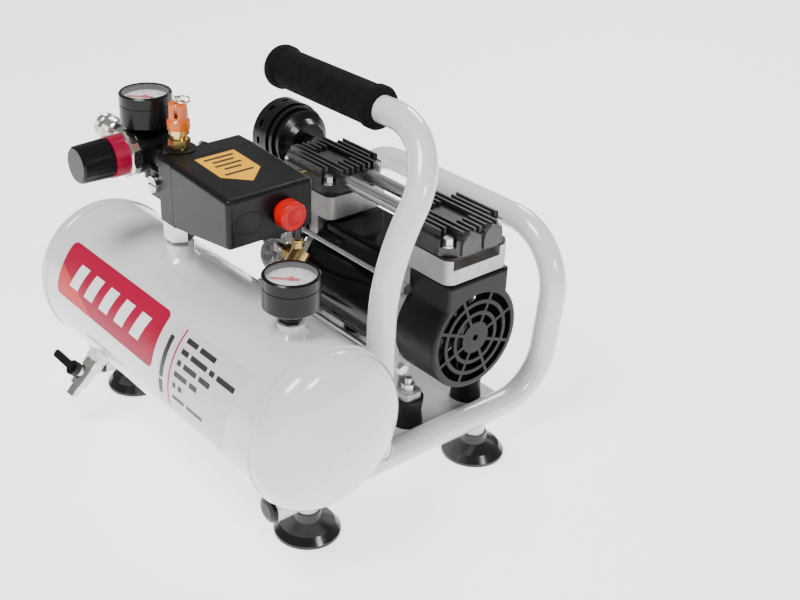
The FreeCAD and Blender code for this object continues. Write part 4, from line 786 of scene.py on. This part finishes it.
@dataclass
class TankGraphics:
    """Plain colour panels on the tank's front, with bars in place of any lettering."""

    tank_z: float = 108.8
    radius: float = 63.2
    panel: tuple[float, float, float, float] = (-131.0, 7.5, 24.0, 55.0)
    bars: int = 5
    bar_pitch: float = 24.5
    bar_width: float = 13.5
    bar_lean: float = 7.0
    bar_margin: float = 13.0
    rule_x: float = 48.7
    rows: tuple[tuple[float, float, tuple[float, ...]], ...] = (
        (43.5, 4.2, (14.0, 20.0)), (34.5, 4.2, (9.0, 21.0, 6.0, 22.0)), (25.5, 4.2, (5.0, 17.0, 14.0)),
        (16.5, 4.2, (17.0, 10.0)), (7.5, 4.2, (4.0, 5.0)), (-2.0, 3.0, (16.0, 21.0)))

    def build(self, shop: Workshop) -> None:
        """Lay the panels.

        Args:
            shop: The workshop.
        """
        wall = Barrel(shop.layout, (0.0, TANK_Y, self.tank_z), self.radius, -1.0)
        low_x, low_y, high_x, high_y = self.panel
        sheet = rounded(low_x, low_y, high_x, high_y, 6.0)
        Sticker("tank_panel", "label_crimson", "dark_red", [sheet], wall).build(shop)
        tone = [(low_x + 1.0, low_y + 7.0), (low_x + 7.0, low_y + 1.0), (low_x + 62.0, low_y + 1.0),
                (low_x + 1.0, low_y + 26.0)]
        Sticker("tank_panel_tone", "label_red", "dark_red", [tone], wall, layer=2).build(shop)
        bars = []
        for index in range(self.bars):
            start = low_x + 20.0 + index * self.bar_pitch
            end, low, high = start + self.bar_width, low_y + self.bar_margin, high_y - self.bar_margin
            bars.append([(start, low), (end, low), (end + self.bar_lean, high),
                         (start + self.bar_lean, high)])
        Sticker("tank_panel_bars", "label_white", "tank_paint", bars, wall, layer=3).build(shop)
        rule = rounded(self.rule_x - 0.8, -13.0, self.rule_x + 0.8, 52.0, 0.7)
        Sticker("tank_rule", "label_crimson", "dark_red", [rule], wall, layer=2).build(shop)
        film = [(self.rule_x - 16.0, -15.0), (self.rule_x + 70.0, -15.0), (self.rule_x + 84.0, 54.0),
                (self.rule_x - 16.0, 54.0)]
        Sticker("tank_film", "label_clear", "tank_paint", [film], wall).build(shop)
        lines = [outline for row in self.rows for outline in self.words(*row)]
        lines += [rounded(self.rule_x - 13.0, low, self.rule_x - 8.0, high, 1.0)
                  for low, high in ((-6.0, 6.0), (8.0, 42.0))]
        Sticker("tank_lines", "label_ink", "cable_black", lines, wall, layer=2).build(shop)

    def words(self, y: float, height: float, lengths: Sequence[float]) -> list[Outline]:
        """Draw a row of bars as long as words would be.

        Args:
            y: The row's lower side.
            height: The bars' height.
            lengths: Each bar's length.

        Returns:
            The bars' outlines.
        """
        outlines, x = [], self.rule_x + 6.0
        for length in lengths:
            outlines.append(rounded(x, y, x + length, y + height, 0.8))
            x += length + 3.5
        return outlines


@dataclass
class SwitchGraphics:
    """Arrow-shaped yellow label on the switch and the raised oval on its end."""

    body_x: tuple[float, float] = (-9.7, 66.5)
    top_z: tuple[float, float] = (261.0, 256.5)

    def build(self, shop: Workshop) -> None:
        """Lay the label and raise the oval.

        Args:
            shop: The workshop.
        """
        slope = (self.top_z[1] - self.top_z[0]) / (self.body_x[1] - self.body_x[0])
        roof = Plate(shop.layout, (0.0, 0.0, self.top_z[0]), slope, self.body_x[0])
        arrow = [(-4.5, -79.0), (31.0, -79.0), (47.0, -61.5), (31.0, -44.0), (-4.5, -44.0)]
        Sticker("switch_label", "label_yellow", "dial_white", [arrow], roof, strips=50.0).build(shop)
        bars = [rounded(x, -75.0 + inset, x + 2.6, -48.0 - inset, 0.6)
                for x, inset in ((0.0, 0.5), (6.5, 4.0), (13.0, 2.0), (19.5, 6.0), (28.0, 1.0))]
        Sticker("switch_label_bars", "label_ink", "cable_black", bars, roof, layer=2,
                strips=50.0).build(shop)
        shop.piece("switch_oval", self.oval(shop.layout), "switch_black", slot="gloss_black")

    def oval(self, layout: Layout) -> bpy.types.Mesh:
        """Raise a low elliptical bead on the switch's end face.

        Args:
            layout: The layout.

        Returns:
            The bead's mesh.
        """
        shape = bmesh.new()
        steps, around = 64, 8
        rings = []
        for index in range(steps):
            angle = FULL_TURN * index / steps
            side = Vector((0.0, math.cos(angle), math.sin(angle)))
            middle = Vector((self.body_x[1], -79.0 + 11.5 * math.cos(angle), 235.0 + 8.5 * math.sin(angle)))
            ring = []
            for corner in range(around):
                turn = FULL_TURN * corner / around
                point = middle + side * (0.9 * math.cos(turn)) + Vector((0.5 * math.sin(turn), 0, 0))
                ring.append(shape.verts.new(layout.at(*point)))
            rings.append(ring)
        bridge(shape, rings)
        return closed_mesh("switch_oval", shape)


@dataclass
class MotorGraphics:
    """Plain rating panel on the skirt's rear and round marks on both covers."""

    pump: tuple[float, float, float] = (31.0, 80.6, 121.0)
    skirt_r: float = 46.6
    cover_r: float = 44.3
    cover_x: float = 89.0

    def build(self, shop: Workshop) -> None:
        """Lay the panel and the marks.

        Args:
            shop: The workshop.
        """
        skirt = Barrel(shop.layout, self.pump, self.skirt_r, 1.0)
        cover = Barrel(shop.layout, self.pump, self.cover_r, 1.0)
        lines = [rounded(-20.0, y, -20.0 + length, y + 1.6, 0.5)
                 for y, length in ((8.0, 30.0), (4.0, 38.0), (0.0, 34.0), (-4.0, 38.0), (-8.0, 24.0))]
        marks = (-self.cover_x, self.cover_x)
        for name, finish, slot, outlines, surface, layer in (
                ("rating_panel", "label_white", "dial_white", [rounded(-24.0, -14.0, 24.0, 14.0, 2.0)],
                 skirt, 1),
                ("rating_lines", "label_ink", "cable_black", lines, skirt, 2),
                ("cover_marks", "label_red", "red_plastic", [disc(x, 4.0, 9.5) for x in marks], cover, 1),
                ("cover_mark_fields", "label_white", "dial_white", [disc(x, 4.0, 7.6) for x in marks],
                 cover, 2),
                ("cover_mark_bars", "label_red", "red_plastic",
                 [rounded(x - 5.0, 2.6, x + 5.0, 5.4, 0.8) for x in marks], cover, 3)):
            Sticker(name, finish, slot, outlines, surface, layer, strips=2.0).build(shop)


# ---- gauges --------------------------------------------------------------------------
@dataclass
class GaugeFace:
    """Printed scale on one dial: ticks, numbers and a red sector."""

    name: str
    middle: tuple[float, float, float]
    radius: float = 18.4
    first: float = 225.0
    sweep: float = 270.0
    marks: int = 12
    number_size: float = 3.6
    red_from: float = 0.72

    def ticks(self, shop: Workshop) -> bpy.types.Mesh:
        """Grow the ticks along the scale's arc.

        Args:
            shop: The workshop.

        Returns:
            The ticks' mesh.
        """
        values = {"Count": 60, "Radius": (self.radius - 1.6) * MM, "Sweep": math.radians(self.sweep),
                  "Start": math.radians(self.first), "Every": 5}
        recipe = Recipe(self.name + "_scale", values)
        index = recipe.node("GeometryNodeInputIndex")
        angle = recipe.given("Start") - index * (recipe.given("Sweep") / recipe.given("Count"))
        reach = recipe.given("Radius")
        spot = recipe.vector(angle.cosine() * reach, angle.sine() * reach, 0.0)
        tick = recipe.node("GeometryNodeMeshCube", sockets={"Size": (0.0022, 0.0003, 0.00008)})
        rest = index.math("MODULO", index, recipe.given("Every"))
        major = rest.math("LESS_THAN", rest, 0.5)
        size = recipe.vector(major * 0.6 + 0.7, major * 0.9 + 0.8, 1.0)
        turned = recipe.vector(0.0, 0.0, angle)
        copies = recipe.scatter(recipe.given("Count") + 1, spot, tick, Rotation=turned, Scale=size)
        recipe.finish(copies, shop.finishes.get("label_ink"))
        mesh = recipe.grow(self.name + "_ticks", bpy.data.meshes.new("seed"), values)
        mesh.transform(Matrix.Translation(shop.layout.at(*self.middle)))
        return mesh

    def numbers(self, layout: Layout) -> bpy.types.Mesh:
        """Write the scale's numbers.

        Args:
            layout: The layout.

        Returns:
            The numbers as one mesh.
        """
        shape = bmesh.new()
        for value in range(0, self.marks + 1, 3):
            text = bpy.data.curves.new("number", "FONT")
            text.body, text.size = str(value), self.number_size * MM
            text.align_x, text.align_y = "CENTER", "CENTER"
            holder = bpy.data.objects.new("number", text)
            flat = bpy.data.meshes.new_from_object(holder)
            angle = math.radians(self.first - self.sweep * value / self.marks)
            spot = Vector((math.cos(angle), math.sin(angle), 0)) * (self.radius - 6.0) * MM
            flat.transform(Matrix.Translation(layout.at(*self.middle) + spot))
            shape.from_mesh(flat)
            bpy.data.objects.remove(holder)
        mesh = bpy.data.meshes.new(self.name + "_numbers")
        shape.to_mesh(mesh)
        shape.free()
        return mesh

    def build(self, shop: Workshop) -> None:
        """Print the dial.

        Args:
            shop: The workshop.
        """
        shop.piece(self.name + "_ticks", outward(self.ticks(shop)), "label_ink", slot="cable_black")
        shop.piece(self.name + "_numbers", self.numbers(shop.layout), "label_ink", slot="cable_black")
        start = math.radians(self.first - self.sweep * self.red_from)
        end = math.radians(self.first - self.sweep)
        arc = [start + (end - start) * step / 20 for step in range(21)]
        outer, inner = self.radius - 3.2, self.radius - 4.4
        band = [(outer * math.cos(a), outer * math.sin(a)) for a in arc]
        band += [(inner * math.cos(a), inner * math.sin(a)) for a in reversed(arc)]
        card = Plate(shop.layout, self.middle)
        Sticker(self.name + "_sector", "label_red", "needle_red", [band], card, strips=50.0).build(shop)


# ---- coupler -------------------------------------------------------------------------
@dataclass
class SleeveKnurl:
    """Knurled bands on the coupler's release sleeve."""

    bands: tuple[tuple[float, float], ...] = ((-148.4, 5.4), (-137.4, 10.6))
    line: tuple[float, float] = (-76.0, 244.0)
    radius: float = 10.55
    around: int = 44
    row_pitch: float = 1.5

    def build(self, shop: Workshop) -> None:
        """Grow both bands on the sleeve.

        Args:
            shop: The workshop.
        """
        recipe = Recipe("knurl", {"Around": 44, "Rows": 4, "Radius": 0.0105, "Width": 0.01})
        count = recipe.given("Around") * recipe.given("Rows")
        index = recipe.node("GeometryNodeInputIndex")
        row = index.math("FLOOR", index / recipe.given("Around"))
        angle = (index + row * 0.5) * FULL_TURN / recipe.given("Around")
        along = (row + 0.5) * (recipe.given("Width") / recipe.given("Rows"))
        reach = recipe.given("Radius")
        spot = recipe.vector(along, angle.cosine() * reach, angle.sine() * reach)
        stud = recipe.node("GeometryNodeMeshCone", {"fill_type": "TRIANGLE_FAN"},
                           {"Vertices": 4, "Radius Top": 0.0001, "Radius Bottom": 0.0009, "Depth": 0.00045},
                           out="Mesh")
        facing = recipe.node("FunctionNodeAlignRotationToVector", {"axis": "Z"},
                             {"Vector": recipe.vector(0.0, angle.cosine(), angle.sine())})
        recipe.finish(recipe.scatter(count, spot, stud, Rotation=facing), shop.finishes.get("nickel"))
        for number, (start, width) in enumerate(self.bands):
            values = {"Around": self.around, "Rows": max(2, round(width / self.row_pitch)),
                      "Radius": self.radius * MM, "Width": width * MM}
            mesh = recipe.grow(f"knurl_{number}", bpy.data.meshes.new("seed"), values)
            mesh.transform(Matrix.Translation(shop.layout.at(start, *self.line)))
            shop.piece(f"knurl_{number}", mesh, "nickel", "release_sleeve", sharp=20.0)


# ---- hoses and cables ------------------------------------------------------------------
@dataclass
class DischargeHose:
    """Rubber hose under steel braid, crimped at both ends."""

    core_r: float = 4.1
    wire_r: float = 0.36
    strands: int = 12
    turns: float = 6.0
    points: tuple[Place, ...] = (
        (32.0, -21.39, 183.82), (18, -21.39, 183.82), (3, -20, 175), (-7, -14, 158), (-14, -1, 143),
        (-25, 15, 138),
        (-37, 28, 148), (-43, 36, 165), (-42, 39.9, 181.9), (-42, 39.9, 197.9))

    def recipe(self, shop: Workshop) -> Recipe:
        """Wind strands both ways along a curve, over and under each other.

        Args:
            shop: The workshop.

        Returns:
            The recipe.
        """
        made = Recipe("braid", {"Strands": 12, "Turns": 6.0, "Radius": 0.0043, "Wire": 0.0003, "Steps": 420})
        route = Term(made, made.entry.outputs["Geometry"])
        twists = []
        for way in (1.0, -1.0):
            strand = made.node("GeometryNodeCurvePrimitiveLine",
                               sockets={"Start": (0, 0, 0), "End": (0, 1, 0)})
            strand = made.node("GeometryNodeResampleCurve",
                               sockets={"Curve": strand, "Count": made.given("Steps")})
            pitch = made.vector(1.0 / made.given("Strands"), 0.0, 0.0)
            row = made.node("GeometryNodeMeshLine",
                            sockets={"Count": made.given("Strands"), "Offset": pitch})
            copies = made.node("GeometryNodeInstanceOnPoints", sockets={"Points": row, "Instance": strand})
            real = made.node("GeometryNodeRealizeInstances", sockets={0: copies})
            place = made.node("GeometryNodeInputPosition")
            across = made.node("ShaderNodeSeparateXYZ", sockets={0: place})
            along = across.part(1)
            angle = (across + along * made.given("Turns") * way) * FULL_TURN
            weave = (along * made.given("Turns") * made.given("Strands") * FULL_TURN).cosine() * way
            reach = made.given("Radius") + weave * made.given("Wire") * 0.8
            sample = made.node("GeometryNodeSampleCurve", {"mode": "FACTOR"},
                               {0: route, "Factor": along}, out="Position")
            normal = sample.part("Normal")
            side = made.node("ShaderNodeVectorMath", {"operation": "CROSS_PRODUCT"},
                             {0: sample.part("Tangent"), 1: normal})
            spot = made.total(made.total(sample, made.scaled(normal, angle.cosine() * reach)),
                              made.scaled(side, angle.sine() * reach))
            wound = made.node("GeometryNodeSetPosition", sockets={"Geometry": real, "Position": spot})
            ring = made.node("GeometryNodeCurvePrimitiveCircle",
                             sockets={"Resolution": 4, "Radius": made.given("Wire")})
            twists.append(made.node("GeometryNodeCurveToMesh",
                                    sockets={"Curve": wound, "Profile Curve": ring}))
        both = made.node("GeometryNodeJoinGeometry", sockets={0: twists[0]})
        made.tree.links.new(twists[1].socket, both.socket.node.inputs[0])
        made.finish(both, shop.finishes.get("braid_wire"))
        return made

    def build(self, shop: Workshop) -> None:
        """Build the hose with its braid and crimps.

        Args:
            shop: The workshop.
        """
        route = shop.layout.route(self.points)
        core = shop.cord("discharge_hose", route, self.core_r * MM, "hose_mix", "hose_mix")
        plain = core.data.copy()
        plain.bevel_depth = 0.0
        values = {"Strands": self.strands, "Turns": self.turns, "Radius": (self.core_r + 0.3) * MM,
                  "Wire": self.wire_r * MM, "Steps": 420}
        grown = self.recipe(shop).grow("hose_braid", plain, values)
        braid = shop.piece("hose_braid", grown, "braid_wire", slot="hose_mix")
        for name, end, inner in (("hose_crimp_tank", route[0], route[1]),
                                 ("hose_crimp_head", route[-1], route[-2])):
            profile = [(0.0, 3.0), (0.0, 5.2), (1.0, 5.6), (9.0, 5.6), (10.0, 5.2), (10.0, 3.0)]
            mesh = lathe(name, [(a * MM, r * MM) for a, r in profile], end, inner - end)
            shop.piece(name, mesh, "nickel")
        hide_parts("air_hoses")


@dataclass
class PlainLead:
    """A black lead or thin tube whose two ends go into the machine."""

    name: str
    radius: float
    points: tuple[Place, ...]
    slot: str
    replaced: tuple[str, ...] = ()

    def build(self, shop: Workshop) -> None:
        """Lay the lead.

        Args:
            shop: The workshop.
        """
        route = shop.layout.route(self.points)
        lead = shop.cord(self.name, route, self.radius * MM, "cable_black", self.slot)
        if self.replaced:
            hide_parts(*self.replaced)
        2 * self.radius * MM


@dataclass
class MainsLead:
    """Mains lead from the switch, down behind the machine, into a tied coil with its plug beside it."""

    radius: float = 3.5
    coil: tuple[float, float] = (-140.0, 236.0)
    outer_ring: float = 42.0
    inner_ring: float = 28.0
    pitch: float = 7.0
    turns: float = 5.5
    layers: tuple[float, float] = (11.0, 3.7)
    steps: int = 14
    fall: tuple[Place, ...] = (
        (-36.7, -36, 242), (-57, -35, 243), (-79, -27, 238), (-101, -11, 224), (-121, 8, 205),
        (-140, 28, 182),
        (-156, 50, 155), (-170, 74, 126), (-181, 98, 95), (-188, 120, 66), (-191, 140, 42), (-189, 158, 25),
        (-182, 174, 15), (-171, 186, 11.5), (-157, 193, 11))
    tail: tuple[Place, ...] = ((-158, 277, 4.5), (-176, 277, 10), (-192, 277.6, 16), (-206, 278, 17.7))

    @staticmethod
    def eased(value: float) -> float:
        """0 to 1 with a soft start and end."""
        value = min(1.0, max(0.0, value))
        return value * value * (3 - 2 * value)

    def ring_at(self, turn: float) -> tuple[float, float]:
        """Follow the coil, in on top and out below.

        Args:
            turn: Turns so far.

        Returns:
            Radius and height there.
        """
        whole, part = int(turn), turn - int(turn)
        if turn < 3:
            inward = whole + (self.eased((part - 0.7) / 0.3) if whole < 2 else 0.0)
            drop = self.eased((turn - 2.7) / 0.3)
            height = self.layers[0] + (self.layers[1] - self.layers[0]) * drop
            return self.outer_ring - self.pitch * inward, height
        outward_turns = whole - 3 + self.eased((part - 0.4) / 0.3)
        return self.inner_ring + self.pitch * min(2.0, outward_turns), self.layers[1]

    def coil_points(self) -> list[Place]:
        """The coil's turns, from its front round to its rear.

        Returns:
            The route's points there, in millimetres.
        """
        points = []
        for step in range(int(self.turns * self.steps) + 1):
            turn = step / self.steps
            radius, height = self.ring_at(turn)
            angle = math.radians(270) + FULL_TURN * turn
            points.append((self.coil[0] + radius * math.cos(angle),
                           self.coil[1] + radius * math.sin(angle), height))
        return points

    def build(self, shop: Workshop) -> None:
        """Lay the lead, its tie and strain relief.

        Args:
            shop: The workshop.
        """
        layout = shop.layout
        route = layout.route([*self.fall, *self.coil_points(), *self.tail])
        lead = shop.cord("mains_cable", route, self.radius * MM, "cable_black", "cable_black")
        relief = lathe("mains_strain_relief", self.relief_profile(), layout.at(-36.0, -36.0, 242.0),
                       layout.at(-57, -35, 243) - layout.at(-36.7, -36, 242), 28)
        sleeve = shop.piece("mains_strain_relief", relief, "black_rubber", slot="black_rubber")
        tie = shop.piece("coil_tie", self.tie(layout), "black_plastic", slot="black_plastic")
        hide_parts("mains_lead", "mains_coil")
        2 * self.radius * MM

    @staticmethod
    def relief_profile() -> Outline:
        """Draw a ribbed sleeve that thins out along the cable.

        Returns:
            Lengths and radii, in metres.
        """
        outline = [(0.0, 3.4), (0.0, 6.2), (3.0, 6.2)]
        for rib in range(6):
            start, radius = 4.0 + rib * 3.4, 5.8 - rib * 0.32
            outline += [(start, radius - 0.9), (start + 1.0, radius - 0.9), (start + 1.4, radius),
                        (start + 3.0, radius)]
        outline += [(25.0, 4.1), (25.0, 3.4)]
        return [(along * MM, radius * MM) for along, radius in outline]

    def tie(self, layout: Layout) -> bpy.types.Mesh:
        """Loop a flat tie round the coil's section.

        Args:
            layout: The layout.

        Returns:
            The tie's mesh.
        """
        outer, inner = rounded(23.4, 0.1, 46.5, 15.4, 3.0), rounded(24.2, 0.9, 45.7, 14.6, 2.4)
        shape = bmesh.new()
        rows = []
        for side, outline in ((-2.0, outer), (-2.0, inner), (2.0, inner), (2.0, outer)):
            rows.append([shape.verts.new(layout.at(self.coil[0] + r, self.coil[1] + side, z))
                         for r, z in outline])
        bridge(shape, rows)
        return closed_mesh("coil_tie", shape)


# ---- welds -----------------------------------------------------------------------------
@dataclass
class WeldBeads:
    """Overlapping weld ripples along the frame's joints."""

    size: float = 1.7
    spacing: float = 1.6

    def recipe(self, shop: Workshop) -> Recipe:
        """Space flattened lumps along a curve.

        Args:
            shop: The workshop.

        Returns:
            The recipe.
        """
        made = Recipe("weld", {"Spacing": 0.0016, "Size": 0.0017, "Seed": 4})
        route = Term(made, made.entry.outputs["Geometry"])
        points = made.node("GeometryNodeCurveToPoints", {"mode": "LENGTH"},
                           {"Curve": route, "Length": made.given("Spacing")}, out="Points")
        lump = made.node("GeometryNodeMeshIcoSphere",
                         sockets={"Radius": made.given("Size"), "Subdivisions": 2}, out="Mesh")
        spread = made.node("FunctionNodeRandomValue", {"data_type": "FLOAT"},
                           {"Min": 0.85, "Max": 1.15, "Seed": made.given("Seed")}, out=1)
        size = made.vector(spread, spread, 0.7)
        copies = made.node("GeometryNodeInstanceOnPoints",
                           sockets={"Points": points, "Instance": lump, "Rotation": points.part("Rotation"),
                                    "Scale": size})
        made.finish(copies, shop.finishes.get("white_paint"))
        return made

    def build(self, shop: Workshop) -> None:
        """Grow the beads at the handle's foot and along the plate's two sides.

        Args:
            shop: The workshop.
        """
        recipe, layout = self.recipe(shop), shop.layout
        foot = []
        for step in range(37):
            angle = 2 * math.pi * step / 36
            across = 11.3 * math.cos(angle)
            rise = 11.0 * math.sqrt(max(0.05, 1 - ((across - 1.1) / 11.4) ** 2))
            foot.append(layout.at(129.4 + across, -5.6 + 11.3 * math.sin(angle), 34.6 + rise))
        sides = [[layout.at(side * 118.9, y, 35.6) for y in (-4.0, 136.0)] for side in (1, -1)]
        for number, line in enumerate([foot, *sides]):
            values = {"Spacing": self.spacing * MM, "Size": self.size * MM, "Seed": 4 + number}
            mesh = recipe.grow(f"weld_bead_{number}", open_line("weld_line", "POLY", line), values)
            shop.piece(f"weld_bead_{number}", mesh, "white_paint", sharp=80.0)


# ---- the frame's own pieces --------------------------------------------------------------
@dataclass
class FrameDress:
    """Gives every carried-over node its finish."""

    own: dict[str, str] = field(default_factory=lambda: {
        "suction_feet": "foot_rubber", "motor_skirt": "skirt_black", "switch_cover": "switch_black",
        "switch_base": "switch_black", "end_cover_right": "black_plastic",
        "end_cover_left": "black_plastic"})

    def build(self, shop: Workshop, record: dict[str, Any]) -> None:
        """Assign the finishes by the record's slots, or by the list of exceptions.

        Args:
            shop: The workshop.
            record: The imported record.
        """
        slots = {part["node"]: part["material_slot"] for part in record["subparts"]}
        for name, node in shop.nodes.items():
            material = shop.finishes.get(self.own.get(name, slots[name]))
            node.data.materials.clear()
            node.data.materials.append(material)
            LOG.info("node %s dressed in %s", name, material.name)


# ---- studio ------------------------------------------------------------------------------
@dataclass
class Studio:
    """Pale floor, soft lights and the camera."""

    azimuth: float = 53.42
    elevation: float = 28.77
    distance: float = 1007.1
    target: tuple[float, float, float] = (17.1, 2.6, 124.9)
    lens: float = 55.35
    shift_x: float = 0.125
    floor_half: float = 8.0
    floor_glow: float = 1.6
    world_glow: float = 0.36
    aim: Place = (0.0, 0.0, 0.12)
    lights: tuple[tuple[str, float, float, Place], ...] = (
        ("key", 42.0, 0.7, (0.1, -0.9, 1.9)), ("side", 12.0, 0.35, (1.7, 0.1, 1.0)),
        ("rear", 22.0, 0.7, (-0.7, 1.5, 1.4)))

    def camera(self, layout: Layout) -> None:
        """Stand the camera at its angle.

        Args:
            layout: The layout.
        """
        data = bpy.data.cameras.new("camera")
        data.lens, data.shift_x, data.clip_start = self.lens, self.shift_x, 0.01
        a, e = math.radians(self.azimuth), math.radians(self.elevation)
        back = Vector((math.sin(a) * math.cos(e), -math.cos(a) * math.cos(e), math.sin(e)))
        made = link("camera", data)
        made.location = layout.at(*self.target) + back * (self.distance * MM)
        made.rotation_euler = back.to_track_quat("Z", "Y").to_euler()
        bpy.context.scene.camera = made

    def light(self, name: str, power: float, size: float, place: Place) -> None:
        """Hang a square soft light that looks at the object.

        Args:
            name: The light's name.
            power: Its watts.
            size: Its side, in metres.
            place: Where it hangs, in metres.
        """
        data = bpy.data.lights.new(name, "AREA")
        data.energy, data.size = power, size
        made = link(name, data)
        made.location = place
        made.rotation_euler = (Vector(place) - Vector(self.aim)).to_track_quat("Z", "Y").to_euler()

    def build(self, shop: Workshop) -> None:
        """Set up floor, world, lights and camera.

        Args:
            shop: The workshop.
        """
        shape = bmesh.new()
        bmesh.ops.create_grid(shape, x_segments=1, y_segments=1, size=self.floor_half)
        mesh = bpy.data.meshes.new("floor")
        shape.to_mesh(mesh)
        shape.free()
        paint = Paint("floor_paper")
        glow = {"Emission Color": (1.0, 1.0, 1.0, 1.0), "Emission Strength": self.floor_glow}
        mesh.materials.append(paint.surface((0.92, 0.92, 0.925, 1.0), 0.6, 0.0, None, glow))
        link("floor", mesh)
        world = bpy.data.worlds.new("studio")
        world.use_nodes = True
        sky = world.node_tree.nodes["Background"]
        sky.inputs["Color"].default_value = (1.0, 1.0, 1.0, 1.0)
        sky.inputs["Strength"].default_value = self.world_glow
        bpy.context.scene.world = world
        for light in self.lights:
            self.light(*light)
        self.camera(shop.layout)


THIN_TUBE = ((47, -21.39, 198.82), (47, -21.39, 210.82), (41.5, -14, 222), (28, -9, 226.5), (10, -7, 224),
             (-12, -7, 214.5), (-38, -7, 200), (-63, -7, 189), (-88, -9, 185), (-109, -14, 194),
             (-121, -22, 212),
             (-119, -32, 232), (-104, -42, 243), (-84, -48.5, 241), (-63.7, -50, 234), (-43.7, -50, 234))
MOTOR_LEAD = ((-36.7, -33, 222), (-56, -31, 221), (-76, -21, 212), (-94, -4, 197), (-108, 15, 180),
              (-119, 34, 160),
              (-122, 50, 138), (-114, 60, 118), (-108, 61, 97), (-104, 62, 83))


def main() -> None:
    """Build everything in order."""
    logging.basicConfig(level=logging.INFO, format="%(message)s")
    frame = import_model()
    low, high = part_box("tank_shell")
    layout = Layout((low.y + high.y) / 2 - TANK_Y * MM)
    shop = Workshop(frame["nodes"], layout, Finishes())
    Studio().build(shop)
    MainsLead().build(shop)
    DischargeHose().build(shop)
    PlainLead("thin_tube", 2.5, THIN_TUBE, "hose_mix").build(shop)
    PlainLead("motor_cable", 3.5, MOTOR_LEAD, "cable_black", ("motor_lead",)).build(shop)
    FrameDress().build(shop, frame["record"])
    TankGraphics().build(shop)
    SwitchGraphics().build(shop)
    MotorGraphics().build(shop)
    GaugeFace("line_gauge", (-80.0, -75.0, 287.42)).build(shop)
    GaugeFace("tank_gauge", (118.1, -80.0, 212.42)).build(shop)
    SleeveKnurl().build(shop)
    WeldBeads().build(shop)
    LOG.info("%d pieces besides the frame's nodes", len(shop.pieces))


if __name__ == "__main__":
    main()
